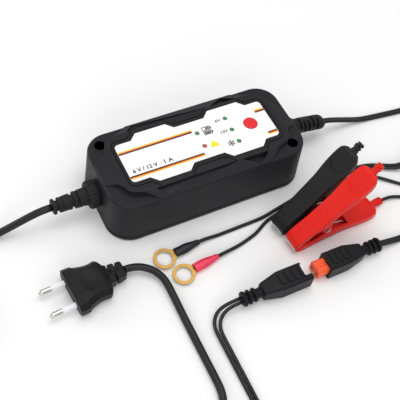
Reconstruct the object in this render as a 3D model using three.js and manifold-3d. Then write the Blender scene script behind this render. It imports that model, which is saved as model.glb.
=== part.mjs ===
// Car battery charger with its mains lead, its output lead and two plug-on adapter leads.
// Millimetres, +Z up. Origin: centre of the housing's underside. +X runs along the housing towards the output lead,
// -Y towards the front, where the adapter leads lie.
import * as THREE from 'three';
import { mergeVertices } from 'three/addons/utils/BufferGeometryUtils.js';
import Module from 'manifold-3d';

const wasm = await Module();
wasm.setup();

// ---------------------------------------------------------------- driving dimensions (mm)
const GAP = 0.3;                          // clearance between pieces that touch
const HL = 80.0, HW = 36.9, HR = 19.0;    // housing half length, half width and corner radius at the base
const TOPL = 77.9, TOPW = 34.8, TOPR = 16.8; // the same at the rim
const BASE_T = 4.0;                       // base plate thickness
const PAD_Z = 38.9;                       // corner pads, where the mounting holes are
const DECK_Z = 43.6;                      // raised deck around the label
const LABEL_Z = 43.95;                    // top of the label
const WALL = 2.3;
const HOLE_X = 66.7, HOLE_Y = 24.9;       // mounting holes: (-X,+Y) and (+X,-Y)
const HOLE_R = 3.85, SEAT_R = 2.3, SEAT_Z = 9.0;
const LABEL_L = 59.4, LABEL_W = 17.1, LOBE_W = 22.3; // label half length, half width, half width at its lobes
const LOBES = [[-46.2, -40.8, -17.0, -11.7], [12.5, 17.8, 42.3, 47.3]];
const BTN = [43.2, 0.0, 5.2];             // mode button: x, y, radius
const LEDS = { led_charge: [1.7, 5.9], led_fault: [1.7, -6.6], led_6v: [27.4, 11.1], led_12v: [27.4, -0.2], led_winter: [27.4, -11.7] };
const LED_R = 1.5;
const GLAND_Z = 20.0, GLAND_Y = 0.0;      // axis of the mains cord gland
const DC_Z = 20.0, DC_Y = 0.0;            // axis of the output lead's bend relief
const MAINS_D = 5.4;                      // round mains lead
const DC_W = 5.0, DC_H = 2.6;             // flat twin output lead
const WIRE_D = 2.6;                       // single wires of the adapter leads
const CONN_Y = -112.5;                    // axis of the two facing connectors
const FEMALE_X = 38.0, MALE_X = 50.2;     // mouth of the clamp lead's connector, front of the output connector's shell
const PLUG_TAIL = [-83.3, -59.0], PLUG_HEADING = 4.0;
const PIN_SPACING = 18.6, PIN_LEN = 19.0, PIN_R = 2.0;
const RING_R = 8.2, RING_HOLE_R = 5.4, RING_T = 0.9;
const CLAMP_REST = [[5, 7.8], [69, 31.3]]; // the two points of a clamp's outer side that touch the floor (along, across)

// ---------------------------------------------------------------- helpers
const V2 = (x, y) => new THREE.Vector2(x, y);
const V3 = (x, y, z) => new THREE.Vector3(x, y, z);

function indexed(pos, idx) {
  const g = new THREE.BufferGeometry();
  g.setAttribute('position', new THREE.Float32BufferAttribute(pos, 3));
  g.setIndex(idx);
  return g;
}
function welded(geo) {
  const g = geo.clone();
  for (const k of Object.keys(g.attributes)) if (k !== 'position') g.deleteAttribute(k);
  const m = mergeVertices(g, 1e-4);
  const p = m.attributes.position, ix = Array.from(m.index.array), out = [];
  let vol = 0;
  const a = V3(), b = V3(), c = V3();
  for (let i = 0; i < ix.length; i += 3) {
    const [i0, i1, i2] = [ix[i], ix[i + 1], ix[i + 2]];
    if (i0 === i1 || i1 === i2 || i0 === i2) continue;
    a.fromBufferAttribute(p, i0); b.fromBufferAttribute(p, i1); c.fromBufferAttribute(p, i2);
    vol += a.dot(b.clone().cross(c));
    out.push(i0, i1, i2);
  }
  if (vol < 0) for (let i = 0; i < out.length; i += 3) [out[i + 1], out[i + 2]] = [out[i + 2], out[i + 1]];
  return indexed(Array.from(p.array), out);
}
function solid(geo) {
  const g = welded(geo);
  return new wasm.Manifold(new wasm.Mesh({
    numProp: 3, vertProperties: new Float32Array(g.attributes.position.array), triVerts: new Uint32Array(g.index.array) }));
}
function geometry(man) {
  const m = man.getMesh();
  return indexed(Array.from(m.vertProperties), Array.from(m.triVerts));
}
const cut = (a, ...bs) => bs.reduce((m, b) => m.subtract(b), a);
const join = (a, ...bs) => bs.reduce((m, b) => m.add(b), a);

// rings of equal count, each a list of [x, y, z]; end caps are planar
function loft3(rings, capAxis = 'z') {
  const flat = (p) => capAxis === 'z' ? V2(p[0], p[1]) : V2(p[1], p[2]);
  if (THREE.ShapeUtils.area(rings[0].map(flat)) < 0) rings = rings.map((r) => r.slice().reverse());
  const n = rings[0].length, pos = [], idx = [];
  for (const r of rings) for (const p of r) pos.push(...p);
  for (let k = 0; k < rings.length - 1; k++) for (let i = 0; i < n; i++) {
    const a = k * n + i, b = k * n + (i + 1) % n, c = a + n, d = b + n;
    idx.push(a, b, d, a, d, c);
  }
  const cap = (k, flip) => {
    for (const t of THREE.ShapeUtils.triangulateShape(rings[k].map(flat), [])) {
      const [a, b, c] = t.map((i) => i + k * n);
      if (flip) idx.push(a, c, b); else idx.push(a, b, c);
    }
  };
  cap(0, true); cap(rings.length - 1, false);
  return indexed(pos, idx);
}
// rounded rectangle, counter-clockwise
function rrect(hx, hy, r, n = 6, cx = 0, cy = 0) {
  const out = [];
  for (const [sx, sy, a0] of [[1, 1, 0], [-1, 1, 90], [-1, -1, 180], [1, -1, 270]])
    for (let k = 0; k <= n; k++) {
      const a = (a0 + 90 * k / n) * Math.PI / 180;
      out.push([cx + sx * (hx - r) + r * Math.cos(a), cy + sy * (hy - r) + r * Math.sin(a)]);
    }
  return out;
}
const loftZ = (list) => loft3(list.map(([z, pts]) => pts.map((p) => [p[0], p[1], z])));
// sections across X: list of [x, [[y, z], ...]]
const loftX = (list) => loft3(list.map(([x, pts]) => pts.map((p) => [x, p[0], p[1]])), 'x');
function prism(pts, z0, z1) {
  const g = new THREE.ExtrudeGeometry(new THREE.Shape(pts.map((p) => V2(p[0], p[1]))), { depth: z1 - z0, bevelEnabled: false });
  g.translate(0, 0, z0);
  return g;
}
// polygon in (x, z), extruded along y from y0 to y1
function prismY(pts, y0, y1) {
  const g = prism(pts, 0, y1 - y0);
  g.rotateX(Math.PI / 2);           // (x, y, z) -> (x, -z, y)
  g.translate(0, y1, 0);
  return g;
}
function box(x0, x1, y0, y1, z0, z1) {
  const g = new THREE.BoxGeometry(x1 - x0, y1 - y0, z1 - z0);
  g.translate((x0 + x1) / 2, (y0 + y1) / 2, (z0 + z1) / 2);
  return g;
}
function cylZ(x, y, r, z0, z1, seg = 20) {
  const g = new THREE.CylinderGeometry(r, r, z1 - z0, seg);
  g.rotateX(Math.PI / 2); g.translate(x, y, (z0 + z1) / 2);
  return g;
}
function cylX(y, z, r, x0, x1, seg = 16) {
  const g = new THREE.CylinderGeometry(r, r, x1 - x0, seg);
  g.rotateZ(Math.PI / 2); g.translate((x0 + x1) / 2, y, z);
  return g;
}
function cylY(x, z, r, y0, y1, seg = 12) {
  const g = new THREE.CylinderGeometry(r, r, y1 - y0, seg);
  g.translate(x, (y0 + y1) / 2, z);
  return g;
}
// profile [radius, height], about Z
function lathe(profile, seg = 24) {
  const g = new THREE.LatheGeometry(profile.map((p) => V2(p[0], p[1])), seg);
  g.rotateX(Math.PI / 2);
  return g;
}
// profile [radius, x], about an axis along X through (y, z)
function latheX(profile, y, z, seg = 16) {
  const g = lathe(profile, seg);
  g.rotateY(Math.PI / 2);
  g.translate(0, y, z);
  return g;
}
// straight legs with rounded corners; corner list [x, y, z, radius]
function route(corners, step) {
  const P = corners.map((c) => V3(c[0], c[1], c[2])), out = [P[0].clone()];
  for (let i = 1; i < P.length - 1; i++) {
    const u = P[i].clone().sub(P[i - 1]).normalize(), v = P[i + 1].clone().sub(P[i]).normalize();
    const phi = Math.acos(Math.min(1, Math.max(-1, u.dot(v))));
    const R = corners[i][3] || 0;
    if (phi < 1e-3 || R === 0) { out.push(P[i].clone()); continue; }
    const t = R * Math.tan(phi / 2), A = P[i].clone().addScaledVector(u, -t);
    const nrm = v.clone().addScaledVector(u, -u.dot(v)).normalize();
    const C = A.clone().addScaledVector(nrm, R);
    const n = Math.max(3, Math.ceil(R * phi / step));
    for (let k = 0; k <= n; k++) {
      const a = phi * k / n;
      out.push(C.clone().addScaledVector(nrm, -R * Math.cos(a)).addScaledVector(u, R * Math.sin(a)));
    }
  }
  out.push(P[P.length - 1].clone());
  return out;
}
function tube(corners, w, h, sides, step) {
  const pts = route(corners, step);
  const path = new THREE.CurvePath();
  for (let i = 0; i < pts.length - 1; i++) if (pts[i].distanceTo(pts[i + 1]) > 1e-3) path.add(new THREE.LineCurve3(pts[i], pts[i + 1]));
  const curve = new THREE.CatmullRomCurve3(path.getSpacedPoints(Math.ceil(path.getLength() / (step * 0.8))), false, 'centripetal');
  const sec = [];
  for (let k = 0; k < sides; k++) {
    const a = 2 * Math.PI * (k + 0.5) / sides;
    sec.push(V2(h / 2 * Math.cos(a), w / 2 * Math.sin(a)));
  }
  const steps = Math.min(80, Math.ceil(curve.getLength() / step));
  return new THREE.ExtrudeGeometry(new THREE.Shape(sec), { steps, extrudePath: curve, bevelEnabled: false });
}
// offset of a closed polygon by d to its outside, with mitred corners
function offset(pts, d) {
  const n = pts.length, out = [];
  for (let i = 0; i < n; i++) {
    const a = pts[(i + n - 1) % n], b = pts[i], c = pts[(i + 1) % n];
    const u = V2(b[0] - a[0], b[1] - a[1]).normalize(), v = V2(c[0] - b[0], c[1] - b[1]).normalize();
    const n1 = V2(u.y, -u.x), n2 = V2(v.y, -v.x), m = n1.clone().add(n2).normalize();
    const k = d / Math.max(0.3, m.dot(n1));
    out.push([b[0] + m.x * k, b[1] + m.y * k]);
  }
  return out;
}

const group = new THREE.Group();
const mat = (color, roughness, metalness = 0) => new THREE.MeshStandardMaterial({ color, roughness, metalness });
const MAT = {
  shell: mat(0x35353a, 0.62), base: mat(0x2c2c30, 0.65), label: mat(0xf4f4f2, 0.35), red: mat(0xd8121c, 0.35),
  green: mat(0x11803c, 0.25), ledred: mat(0xc8203a, 0.25), rubber: mat(0x242427, 0.7), plug: mat(0x2a2a2d, 0.55),
  pin: mat(0xc9c9c9, 0.22, 1), sleeve: mat(0xe9eaec, 0.45), cord: mat(0x1d1d1f, 0.55), conn: mat(0x313133, 0.55),
  orange: mat(0xf2602b, 0.4), brass: mat(0xc9a04a, 0.3, 1), clampred: mat(0xe12d1e, 0.35), clampblk: mat(0x202022, 0.42),
  steel: mat(0xbdbdbf, 0.28, 1), copper: mat(0x8a6246, 0.4, 1), crimson: mat(0xe23a60, 0.45), pcb: mat(0x1f6b3a, 0.5),
  ferrite: mat(0x3b3532, 0.6), alu: mat(0xc4c7ca, 0.35, 1), cap: mat(0x24344f, 0.4), zinc: mat(0xa7a9ac, 0.35, 1),
};
function add(name, geo, material, parent = group) {
  const g = geo.getMesh ? geometry(geo) : welded(geo);
  g.computeVertexNormals();
  const m = new THREE.Mesh(g, material);
  m.name = name;
  parent.add(m);
  return m;
}

// ---------------------------------------------------------------- housing
const labelOutline = (() => {
  const [a, b] = LOBES, L = LABEL_L, W = LABEL_W, D = LOBE_W, r = 3.0, q = r * 0.293;
  const right = [[L - r, -W], [L - q, -W + q], [L, -W + r], [L, W - r], [L - q, W - q], [L - r, W]];
  const back = [[b[3], W], [b[2], D], [b[1], D], [b[0], W], [a[3], W], [a[2], D], [a[1], D], [a[0], W]];
  const left = [[-L + r, W], [-L + q, W - q], [-L, W - r], [-L, -W + r], [-L + q, -W + q], [-L + r, -W]];
  const front = back.map(([x, y]) => [x, -y]).reverse();
  return [...right, ...back, ...left, ...front];
})();
const deckOutline = (() => {
  const q = [[76.6, -9.6], [68.0, -12.5], [64.4, -22.8], [55.4, -25.6], [43.6, -34.5]];
  const r = q.slice().reverse();
  return [...r, ...q.map(([x, y]) => [x, -y]), ...r.map(([x, y]) => [-x, -y]), ...q.map(([x, y]) => [-x, y])];
})();
function housing() {
  let body = solid(loftZ([
    [BASE_T + GAP, rrect(HL - 0.1, HW - 0.1, HR - 0.1)],
    [PAD_Z - 1.6, rrect(TOPL + 0.1, TOPW + 0.1, TOPR + 0.1)],
    [PAD_Z - 0.5, rrect(TOPL - 0.5, TOPW - 0.5, TOPR - 0.5)],
    [PAD_Z, rrect(TOPL - 1.5, TOPW - 1.5, TOPR - 1.5)]]));
  // raised deck: steep sides at the corner pads, long slopes at the front, back and ends
  const roofY = solid((() => { const g = prism([[-34.8, 30], [34.8, 30], [34.8, PAD_Z + 0.1], [25.2, DECK_Z], [-25.2, DECK_Z], [-34.8, PAD_Z + 0.1]], -90, 90); g.rotateX(Math.PI / 2); g.rotateZ(Math.PI / 2); return g; })());
  const roofX = solid(prismY([[-77.5, 30], [77.5, 30], [77.5, PAD_Z + 0.1], [65.5, DECK_Z], [-65.5, DECK_Z], [-77.5, PAD_Z + 0.1]], -60, 60));
  const deck = solid(prism(deckOutline, 36.5, 45)).intersect(roofY).intersect(roofX);
  body = body.add(deck);
  // collar of the gland and saddle of the bend relief
  body = join(body, solid(cylX(GLAND_Y, GLAND_Z, 8.2, -85.0, -76, 20)), solid(latheX([[0, 74], [10.4, 74], [10.4, 80.5], [8.6, 85.0], [0, 85.0]], DC_Y, DC_Z, 20)));
  // hollow inside
  const t = WALL;
  body = cut(body, solid(loftZ([
    [0, rrect(HL - t, HW - t, HR - t)], [PAD_Z - t, rrect(TOPL - t, TOPW - t, TOPR - t)]])));
  body = cut(body, solid(prism(offset(labelOutline, 1.2), 30, DECK_Z - 2.8)));
  // mounting tubes and screw bosses
  for (const s of [-1, 1]) {
    body = join(body, solid(cylZ(s * HOLE_X, -s * HOLE_Y, 5.9, BASE_T + GAP, PAD_Z - 0.5, 16)));
    body = cut(body, solid(cylZ(s * HOLE_X, -s * HOLE_Y, HOLE_R, SEAT_Z, 50, 20)), solid(cylZ(s * HOLE_X, -s * HOLE_Y, SEAT_R, 0, 20, 12)));
    body = join(body, solid(cylZ(s * HOLE_X, s * HOLE_Y, 4.2, BASE_T + GAP, PAD_Z - 1, 12)));
    body = cut(body, solid(cylZ(s * HOLE_X, s * HOLE_Y, 1.8, 0, 22, 10)));
  }
  // posts that carry the circuit board
  for (const [x, y] of [[-52, 26], [52, -26], [-52, -26], [52, 26]]) body = join(body, solid(box(x - 2.5, x + 2.5, y - 2, y + 2, 24.3, 38)));
  // label recess and the groove that frames it
  body = cut(body, solid(prism(offset(labelOutline, 0.4), DECK_Z - 0.5, 50)));
  const groove = cut(solid(prism(offset(labelOutline, 2.5), DECK_Z - 0.8, 50)), solid(prism(offset(labelOutline, 1.5), 30, 51)));
  body = cut(body, groove);
  // button and indicator holes
  body = cut(body, solid(cylZ(BTN[0], BTN[1], BTN[2] + GAP, 30, 50, 20)));
  for (const k of Object.keys(LEDS)) body = cut(body, solid(cylZ(...LEDS[k], LED_R + GAP, 30, 50, 10)));
  // sunk facets in the slopes: a long wedge and a short triangle on each side
  for (const s of [-1, 1]) {
    const wedge = (pts) => { // pts: [x, |y|, floor z]
      const top = pts.map(([x, y]) => [x, s * y, 46]), bot = pts.map(([x, y, z]) => [x, s * y, z]);
      return solid(loft3([bot, top]));
    };
    body = cut(body, wedge([[-45.5, 25.7, 41.0], [-38.0, 32.8, 39.6], [15.5, 25.9, 42.7]]), wedge([[24.2, 25.8, 41.3], [35.2, 33.3, 39.3], [45.2, 26.0, 41.3]]));
  }
  // passages for the two leads
  body = cut(body, solid(cylX(GLAND_Y, GLAND_Z, 5.5, -95, -70, 16)), solid(cylX(DC_Y, DC_Z, 5.4, 70, 87, 16)));
  return body;
}
add('housing_shell', housing(), MAT.shell);

function basePlate() {
  let b = solid(loftZ([
    [0, rrect(HL - 1.2, HW - 1.2, HR - 1.2)], [0.9, rrect(HL, HW, HR)], [BASE_T - 0.5, rrect(HL, HW, HR)], [BASE_T, rrect(HL - 0.5, HW - 0.5, HR - 0.5)]]));
  for (const s of [-1, 1]) {
    b = cut(b, solid(cylZ(s * HOLE_X, -s * HOLE_Y, SEAT_R, -1, 10, 12)));
    b = cut(b, solid(cylZ(s * HOLE_X, s * HOLE_Y, 1.9, -1, 10, 12)), solid(cylZ(s * HOLE_X, s * HOLE_Y, 3.3, -1, 2.3, 12)));
  }
  // posts that hold the circuit board from below
  for (const [x, y] of [[-52, 26], [52, -26], [-52, -26], [52, 26]]) b = join(b, solid(box(x - 2.5, x + 2.5, y - 2, y + 2, 3, 22.1)));
  return b;
}
add('base_plate', basePlate(), MAT.base);

function label() {
  let g = solid(prism(labelOutline, LABEL_Z - 0.5, LABEL_Z));
  g = cut(g, solid(cylZ(BTN[0], BTN[1], BTN[2] + GAP, 40, 50, 20)));
  for (const k of Object.keys(LEDS)) g = cut(g, solid(cylZ(...LEDS[k], LED_R + GAP, 40, 50, 10)));
  return g;
}
add('label_overlay', label(), MAT.label);
{
  const g = lathe([[0, 39.3], [6.2, 39.3], [6.2, 40.5], [BTN[2], 40.5], [BTN[2], 44.3], [BTN[2] - 0.5, 44.7], [0, 44.9]], 20);
  g.translate(BTN[0], BTN[1], 0);
  add('mode_button', g, MAT.red);
}
for (const [name, [x, y]] of Object.entries(LEDS)) {
  const g = lathe([[0, 24.3], [LED_R, 24.3], [LED_R, 43.7], [LED_R * 0.6, 44.15], [0, 44.3]], 10);
  g.translate(x, y, 0);
  add(name, g, name === 'led_fault' ? MAT.ledred : MAT.green);
}
for (const s of [-1, 1]) {
  const g = lathe([[0, 0.3], [2.9, 0.3], [2.9, 2.0], [1.5, 2.0], [1.5, 14], [0, 15]], 12);
  g.translate(s * HOLE_X, s * HOLE_Y, 0);
  add(s < 0 ? 'base_screw_left' : 'base_screw_right', g, MAT.zinc);
}

// inside: board with its transformer, smoothing capacitor, heat sink and key switch
add('circuit_board', (() => {
  let b = solid(prism(rrect(60, 30, 4, 2), 22.4, 24.0));
  return b;
})(), MAT.pcb);
add('transformer', cut(solid(box(-34, -8, -14, 12, 24.3, 38.2)), solid(box(-30, -12, -20, -11.5, 20, 50)), solid(box(-30, -12, 9.5, 20, 20, 50))), MAT.ferrite);
{
  const g = lathe([[0, 0], [7.6, 0], [7.8, 0.6], [7.8, 11.5], [7.3, 12.4], [0, 12.4]], 14);
  g.rotateY(Math.PI / 2); g.translate(-55.5, 12, 14.3);
  const m = solid(g);
  add('mains_capacitor', m, MAT.cap);
}
add('heat_sink', (() => {
  let h = solid(box(14, 44, -6, 22, 8.2, 22.1));
  for (let k = 0; k < 4; k++) h = cut(h, solid(box(10, 50, -2.6 + 5.6 * k, 0.6 + 5.6 * k, 5, 19.6)));
  return h;
})(), MAT.alu);
add('mode_switch', join(join(solid(box(BTN[0] - 4, BTN[0] + 4, -4, 4, 24.3, 30)), solid(cylZ(BTN[0], 0, 1.8, 29, 38.5, 10)))), MAT.pcb);

// ---------------------------------------------------------------- mains gland and bend reliefs
{
  // knurled nut
  const n = 20, pts = [];
  for (let k = 0; k < n * 2; k++) { const a = Math.PI * k / n, r = k % 2 ? 10.0 : 10.5; pts.push([r * Math.cos(a), r * Math.sin(a)]); }
  const ring = (x, s) => [x, pts.map(([a, b]) => [GLAND_Y + a * s, GLAND_Z + b * s])];
  let nut = solid(loftX([ring(-86.9, 0.92), ring(-86.2, 1), ring(-80.6, 1), ring(-79.9, 0.95)]));
  nut = cut(nut, solid(cylX(GLAND_Y, GLAND_Z, 8.5, -85.3, -70, 20)), solid(cylX(GLAND_Y, GLAND_Z, 7.3, -95, -80, 20)));
  add('gland_nut', nut, MAT.rubber);
}
{
  const y = GLAND_Y, z = GLAND_Z;
  add('mains_bend_relief', latheX([[0, -113.0], [5.4, -113.0], [5.8, -112.6], [5.8, -110.9], [3.9, -110.7], [3.9, -108.6], [5.5, -108.4], [5.9, -99.4], [4.6, -99.2], [4.6, -97.2], [6.2, -97.0], [6.9, -85.6],
    [6.9, -85.2], [5.2, -85.0], [5.2, -74], [0, -74]], y, z, 16), MAT.rubber);
}
{
  // bend relief of the output lead: slotted, flattened towards its end, drooping slightly
  const sec = (w, h, z) => rrect(w, h, Math.min(w, h) * 0.9, 2, DC_Y, z);
  const list = [[70.5, 4.9, 4.9, 20], [85.3, 4.9, 4.9, 20], [85.4, 6.5, 6.5, 20], [88.5, 6.2, 6.2, 19.9], [93, 6.1, 6.1, 19.6], [100, 6.0, 6.0, 18.4], [108, 6.0, 6.0, 16.7], [111.5, 5.9, 5.8, 15.8], [113.6, 5.2, 4.8, 15.3], [115.7, 3.6, 2.6, 14.8]];
  let r = solid(loftX(list.map(([x, w, h, z]) => [x, sec(w, h, z)])));
  // staggered slots
  for (const [x0, x1, back, z] of [[97.4, 99.2, false, 18.8], [101.6, 103.4, true, 17.9], [105.8, 107.6, false, 17.0]]) {
    const ring = cut(solid(cylX(DC_Y, z, 9, x0, x1, 16)), solid(cylX(DC_Y, z, 4.3, x0 - 1, x1 + 1, 12)));
    r = cut(r, ring.intersect(solid(box(x0 - 1, x1 + 1, back ? 0.8 : -9, back ? 9 : -0.8, 0, 40))), ring.intersect(solid(box(x0 - 1, x1 + 1, -9, 9, back ? z + 1.5 : 0, back ? 40 : z - 1.5))));
  }
  add('dc_bend_relief', r, MAT.rubber);
}

// ---------------------------------------------------------------- mains lead and its plug
const MZ = MAINS_D / 2 + 0.05;
const COIL1 = [-216.0, -38.0], COIL1_RM = 31.0, COIL1_W = 3 * MAINS_D, COIL1_H = 2 * MAINS_D;
const C1R = COIL1_RM + COIL1_W / 2 + GAP + MAINS_D / 2;
add('mains_cord_near', tube([[-113.4, 0, 20, 0], [-122, 0, 20, 26], [-156, 3.4, MZ, 30], [COIL1[0], COIL1[1] + C1R, MZ, 0]], MAINS_D, MAINS_D, 10, 13), MAT.cord);
{
  const g = lathe([[COIL1_RM - COIL1_W / 2, 0.05], [COIL1_RM + COIL1_W / 2, 0.05], [COIL1_RM + COIL1_W / 2, COIL1_H], [COIL1_RM - COIL1_W / 2, COIL1_H], [COIL1_RM - COIL1_W / 2, 0.05]], 28);
  g.translate(COIL1[0], COIL1[1], 0);
  add('mains_cord_coil', g, MAT.cord);
}
{
  const k = C1R * Math.SQRT1_2, sx = COIL1[0] - k, sy = COIL1[1] - k;
  const h = PLUG_HEADING * Math.PI / 180, ex = PLUG_TAIL[0] + 0.3 * Math.cos(h), ey = PLUG_TAIL[1] + 0.3 * Math.sin(h);
  const cx = -59.0, cy = ey + (cx - ex) * Math.tan(h);
  add('mains_cord_far', tube([[sx, sy, MZ, 0], [sx + 22, sy - 22, MZ, 40], [-206, -118, MZ, 40], [-170, -150, MZ, 60], [cx, -196, MZ, 24], [cx, -110, MZ, 60], [cx, cy, 6.0, 21.4], [ex + 1.8 * Math.cos(h), ey + 1.8 * Math.sin(h), 6.9, 0], [ex + 0.25, ey, 6.9, 0]], MAINS_D, MAINS_D, 10, 11), MAT.cord);
}
{
  // flat two-pin plug, built with its face at x = 0 and its pins along -x, then placed on the floor
  const plug = new THREE.Group();
  const R = 40.0, h = PLUG_HEADING * Math.PI / 180;
  plug.position.set(PLUG_TAIL[0] - R * Math.cos(h), PLUG_TAIL[1] - R * Math.sin(h), 6.9);
  plug.rotation.z = h;
  group.add(plug);
  const sec = (w, t) => [[w, -t * 0.45], [w, t * 0.45], [w - 3.2, t], [-w + 3.2, t], [-w, t * 0.45], [-w, -t * 0.45], [-w + 3.2, -t], [w - 3.2, -t]].map(([a, b]) => [a, b]);
  const small = (w, t) => [[w, -t * 0.6], [w, t * 0.6], [w * 0.7, t], [-w * 0.7, t], [-w, t * 0.6], [-w, -t * 0.6], [-w * 0.7, -t], [w * 0.7, -t]];
  let b = solid(loftX([[0, sec(17.2, 6.5)], [0.8, sec(17.65, 6.85)], [7.4, sec(17.3, 6.85)], [7.6, sec(16.2, 6.85)], [13, sec(14.6, 6.85)], [18.5, sec(13.7, 6.6)], [22.5, sec(14.4, 6.2)], [25.2, sec(13.6, 5.6)],
    [27.4, small(8.4, 4.8)], [29.4, small(6.6, 4.6)], [29.5, small(5.2, 3.6)], [31, small(5.2, 3.6)], [31.1, small(6.4, 4.5)], [34.4, small(6.1, 4.3)], [34.5, small(4.6, 3.4)], [36, small(4.6, 3.4)], [36.1, small(5.9, 4.2)], [R, small(5.5, 3.9)]]));
  for (const s of [-1, 1]) b = cut(b, solid(cylX(s * PIN_SPACING / 2, 0, 1.5, -2, 6, 10)));
  add('plug_body', b, MAT.plug, plug);
  for (const [n, s] of [['left', 1], ['right', -1]]) {
    const y = s * PIN_SPACING / 2;
    add(`plug_pin_${n}`, latheX([[0, -PIN_LEN], [1.3, -PIN_LEN + 0.2], [PIN_R, -PIN_LEN + 1.6], [PIN_R, -10.3], [1.2, -10.3], [1.2, 5.6], [0, 5.6]], y, 0, 14), MAT.pin, plug);
    add(`pin_sleeve_${n}`, latheX([[1.5, -10.0], [1.95, -10.0], [1.95, -0.3], [1.5, -0.3], [1.5, -10.0]], y, 0, 14), MAT.sleeve, plug);
  }
}

// ---------------------------------------------------------------- output lead and its connector
const DZ = DC_H / 2 + 0.05;
const COIL2 = [262.0, -45.0], COIL2_RM = 27.0, COIL2_W = 3 * (DC_W + 0.2), COIL2_H = 2 * DC_H + 0.2;
const C2R = COIL2_RM + COIL2_W / 2 + GAP + DC_W / 2;
add('dc_cord_near', tube([[116.2, 0, 14.7, 0], [123, 0, 13.4, 22], [156, -2, DZ, 30], [194, -6.3, DZ, 60], [COIL2[0] - 8, COIL2[1] + C2R, DZ, 30], [COIL2[0], COIL2[1] + C2R, DZ, 0]], DC_H, DC_W, 10, 11), MAT.cord);
{
  const g = lathe([[COIL2_RM - COIL2_W / 2, 0.05], [COIL2_RM + COIL2_W / 2, 0.05], [COIL2_RM + COIL2_W / 2, COIL2_H], [COIL2_RM - COIL2_W / 2, COIL2_H], [COIL2_RM - COIL2_W / 2, 0.05]], 28);
  g.translate(COIL2[0], COIL2[1], 0);
  add('dc_cord_coil', g, MAT.cord);
}
add('dc_cord_far', tube([[COIL2[0], COIL2[1] - C2R, DZ, 0], [COIL2[0] - 12, COIL2[1] - C2R, DZ, 30], [190, -104, DZ, 60], [136, CONN_Y, DZ, 60], [120, CONN_Y, DZ, 30], [98.2, CONN_Y, 7.3, 0]], DC_W, DC_H, 10, 11), MAT.cord);

// one moulded connector along +x with its mouth or front at x = 0; body 36 long, ribbed tail behind it
const conSec = (w, h) => [[w, -h + 1.2], [w, h - 1.2], [w - 1.6, h], [-w + 1.6, h], [-w, h - 1.2], [-w, -h + 1.2], [-w + 1.6, -h], [w - 1.6, -h]];
function connectorBody(bodyLen) {
  const L = bodyLen;
  const list = [[-L - 16, 2.9, 2.3], [-L - 15.6, 4.4, 4.2], [-L - 13.6, 4.6, 4.4], [-L - 13.5, 3.0, 2.8], [-L - 11.6, 3.0, 2.8], [-L - 11.5, 4.9, 4.8], [-L - 9.4, 5.0, 4.9], [-L - 9.3, 3.3, 3.1], [-L - 7.4, 3.3, 3.1],
    [-L - 7.3, 5.1, 5.0], [-L - 5.2, 5.2, 5.1], [-L - 5.1, 3.7, 3.5], [-L - 3.4, 3.7, 3.5], [-L - 3.3, 4.6, 4.6], [-L, 5.0, 5.3], [-L + 14, 7.7, 7.2], [0, 7.7, 7.2]];
  return solid(loftX(list.map(([x, w, h]) => [x, w > 5.2 ? conSec(w, h) : [[w, -h * 0.5], [w, h * 0.5], [w * 0.5, h], [-w * 0.5, h], [-w, h * 0.5], [-w, -h * 0.5], [-w * 0.5, -h], [w * 0.5, -h]]])));
}
// three grip slots in the broad top face
const gripSlots = (x0) => [0, 6, 12].map((k) => solid(box(x0 + k, x0 + k + 1.1, -4.4, 4.4, 6.5, 8.2)));
function femaleShell() {
  let b = connectorBody(40);
  b = cut(b, solid(box(-13.5, 1, -5.9, 5.9, -5.15, 5.15)), solid(box(-4.6, 1, -3.6, 6.9, -8, 8)));
  for (const s of [-1, 1]) b = cut(b, solid(cylX(s * 2.9, 0, 1.45, -16.5, -13, 10)));
  return cut(b, ...gripSlots(-25));
}
const contactPin = (s) => latheX([[0, -16.2], [1.15, -16.2], [1.15, -6.2], [0.5, -5.2], [0, -5.2]], s * 2.9, 0, 10);
{
  const con = new THREE.Group();
  con.position.set(FEMALE_X, CONN_Y, 7.3);
  group.add(con);
  add('clamp_connector_shell', femaleShell(), MAT.conn, con);
  add('clamp_contact_left', contactPin(1), MAT.brass, con);
  add('clamp_contact_right', contactPin(-1), MAT.brass, con);
}
{
  const con = new THREE.Group();
  con.position.set(MALE_X, CONN_Y, 7.3);
  con.rotation.z = Math.PI;
  group.add(con);
  let b = connectorBody(31.5);
  b = cut(b, solid(box(-12.5, 1, -5.8, 5.8, -5.0, 5.0)));
  b = cut(b, ...gripSlots(-17));
  add('dc_connector_shell', b, MAT.conn, con);
  let ins = solid(box(-12.2, 9.1, -5.5, 5.5, -4.7, 4.7));
  ins = cut(ins, solid(box(-14, 13, -0.9, 0.9, -5, -1.0)));
  for (const s of [-1, 1]) ins = cut(ins, solid(box(0.5, 13, s * 2.9 - 1.6, s * 2.9 + 1.6, -1.6, 1.6)));
  add('dc_connector_insert', ins, MAT.orange, con);
  for (const [n, s] of [['left', 1], ['right', -1]])
    add(`dc_contact_${n}`, latheX([[1.25, 0.8], [1.5, 0.8], [1.5, 8.0], [1.25, 8.0], [1.25, 0.8]], s * 2.9, 0, 10), MAT.brass, con);
}

// ---------------------------------------------------------------- clamps
// A clamp is drawn about its mid plane: s from the nose to the rear, t across. The upper arm is at t > 0.
const PIV = [28.0, 0.0];                  // pivot in the mid plane frame
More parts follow.
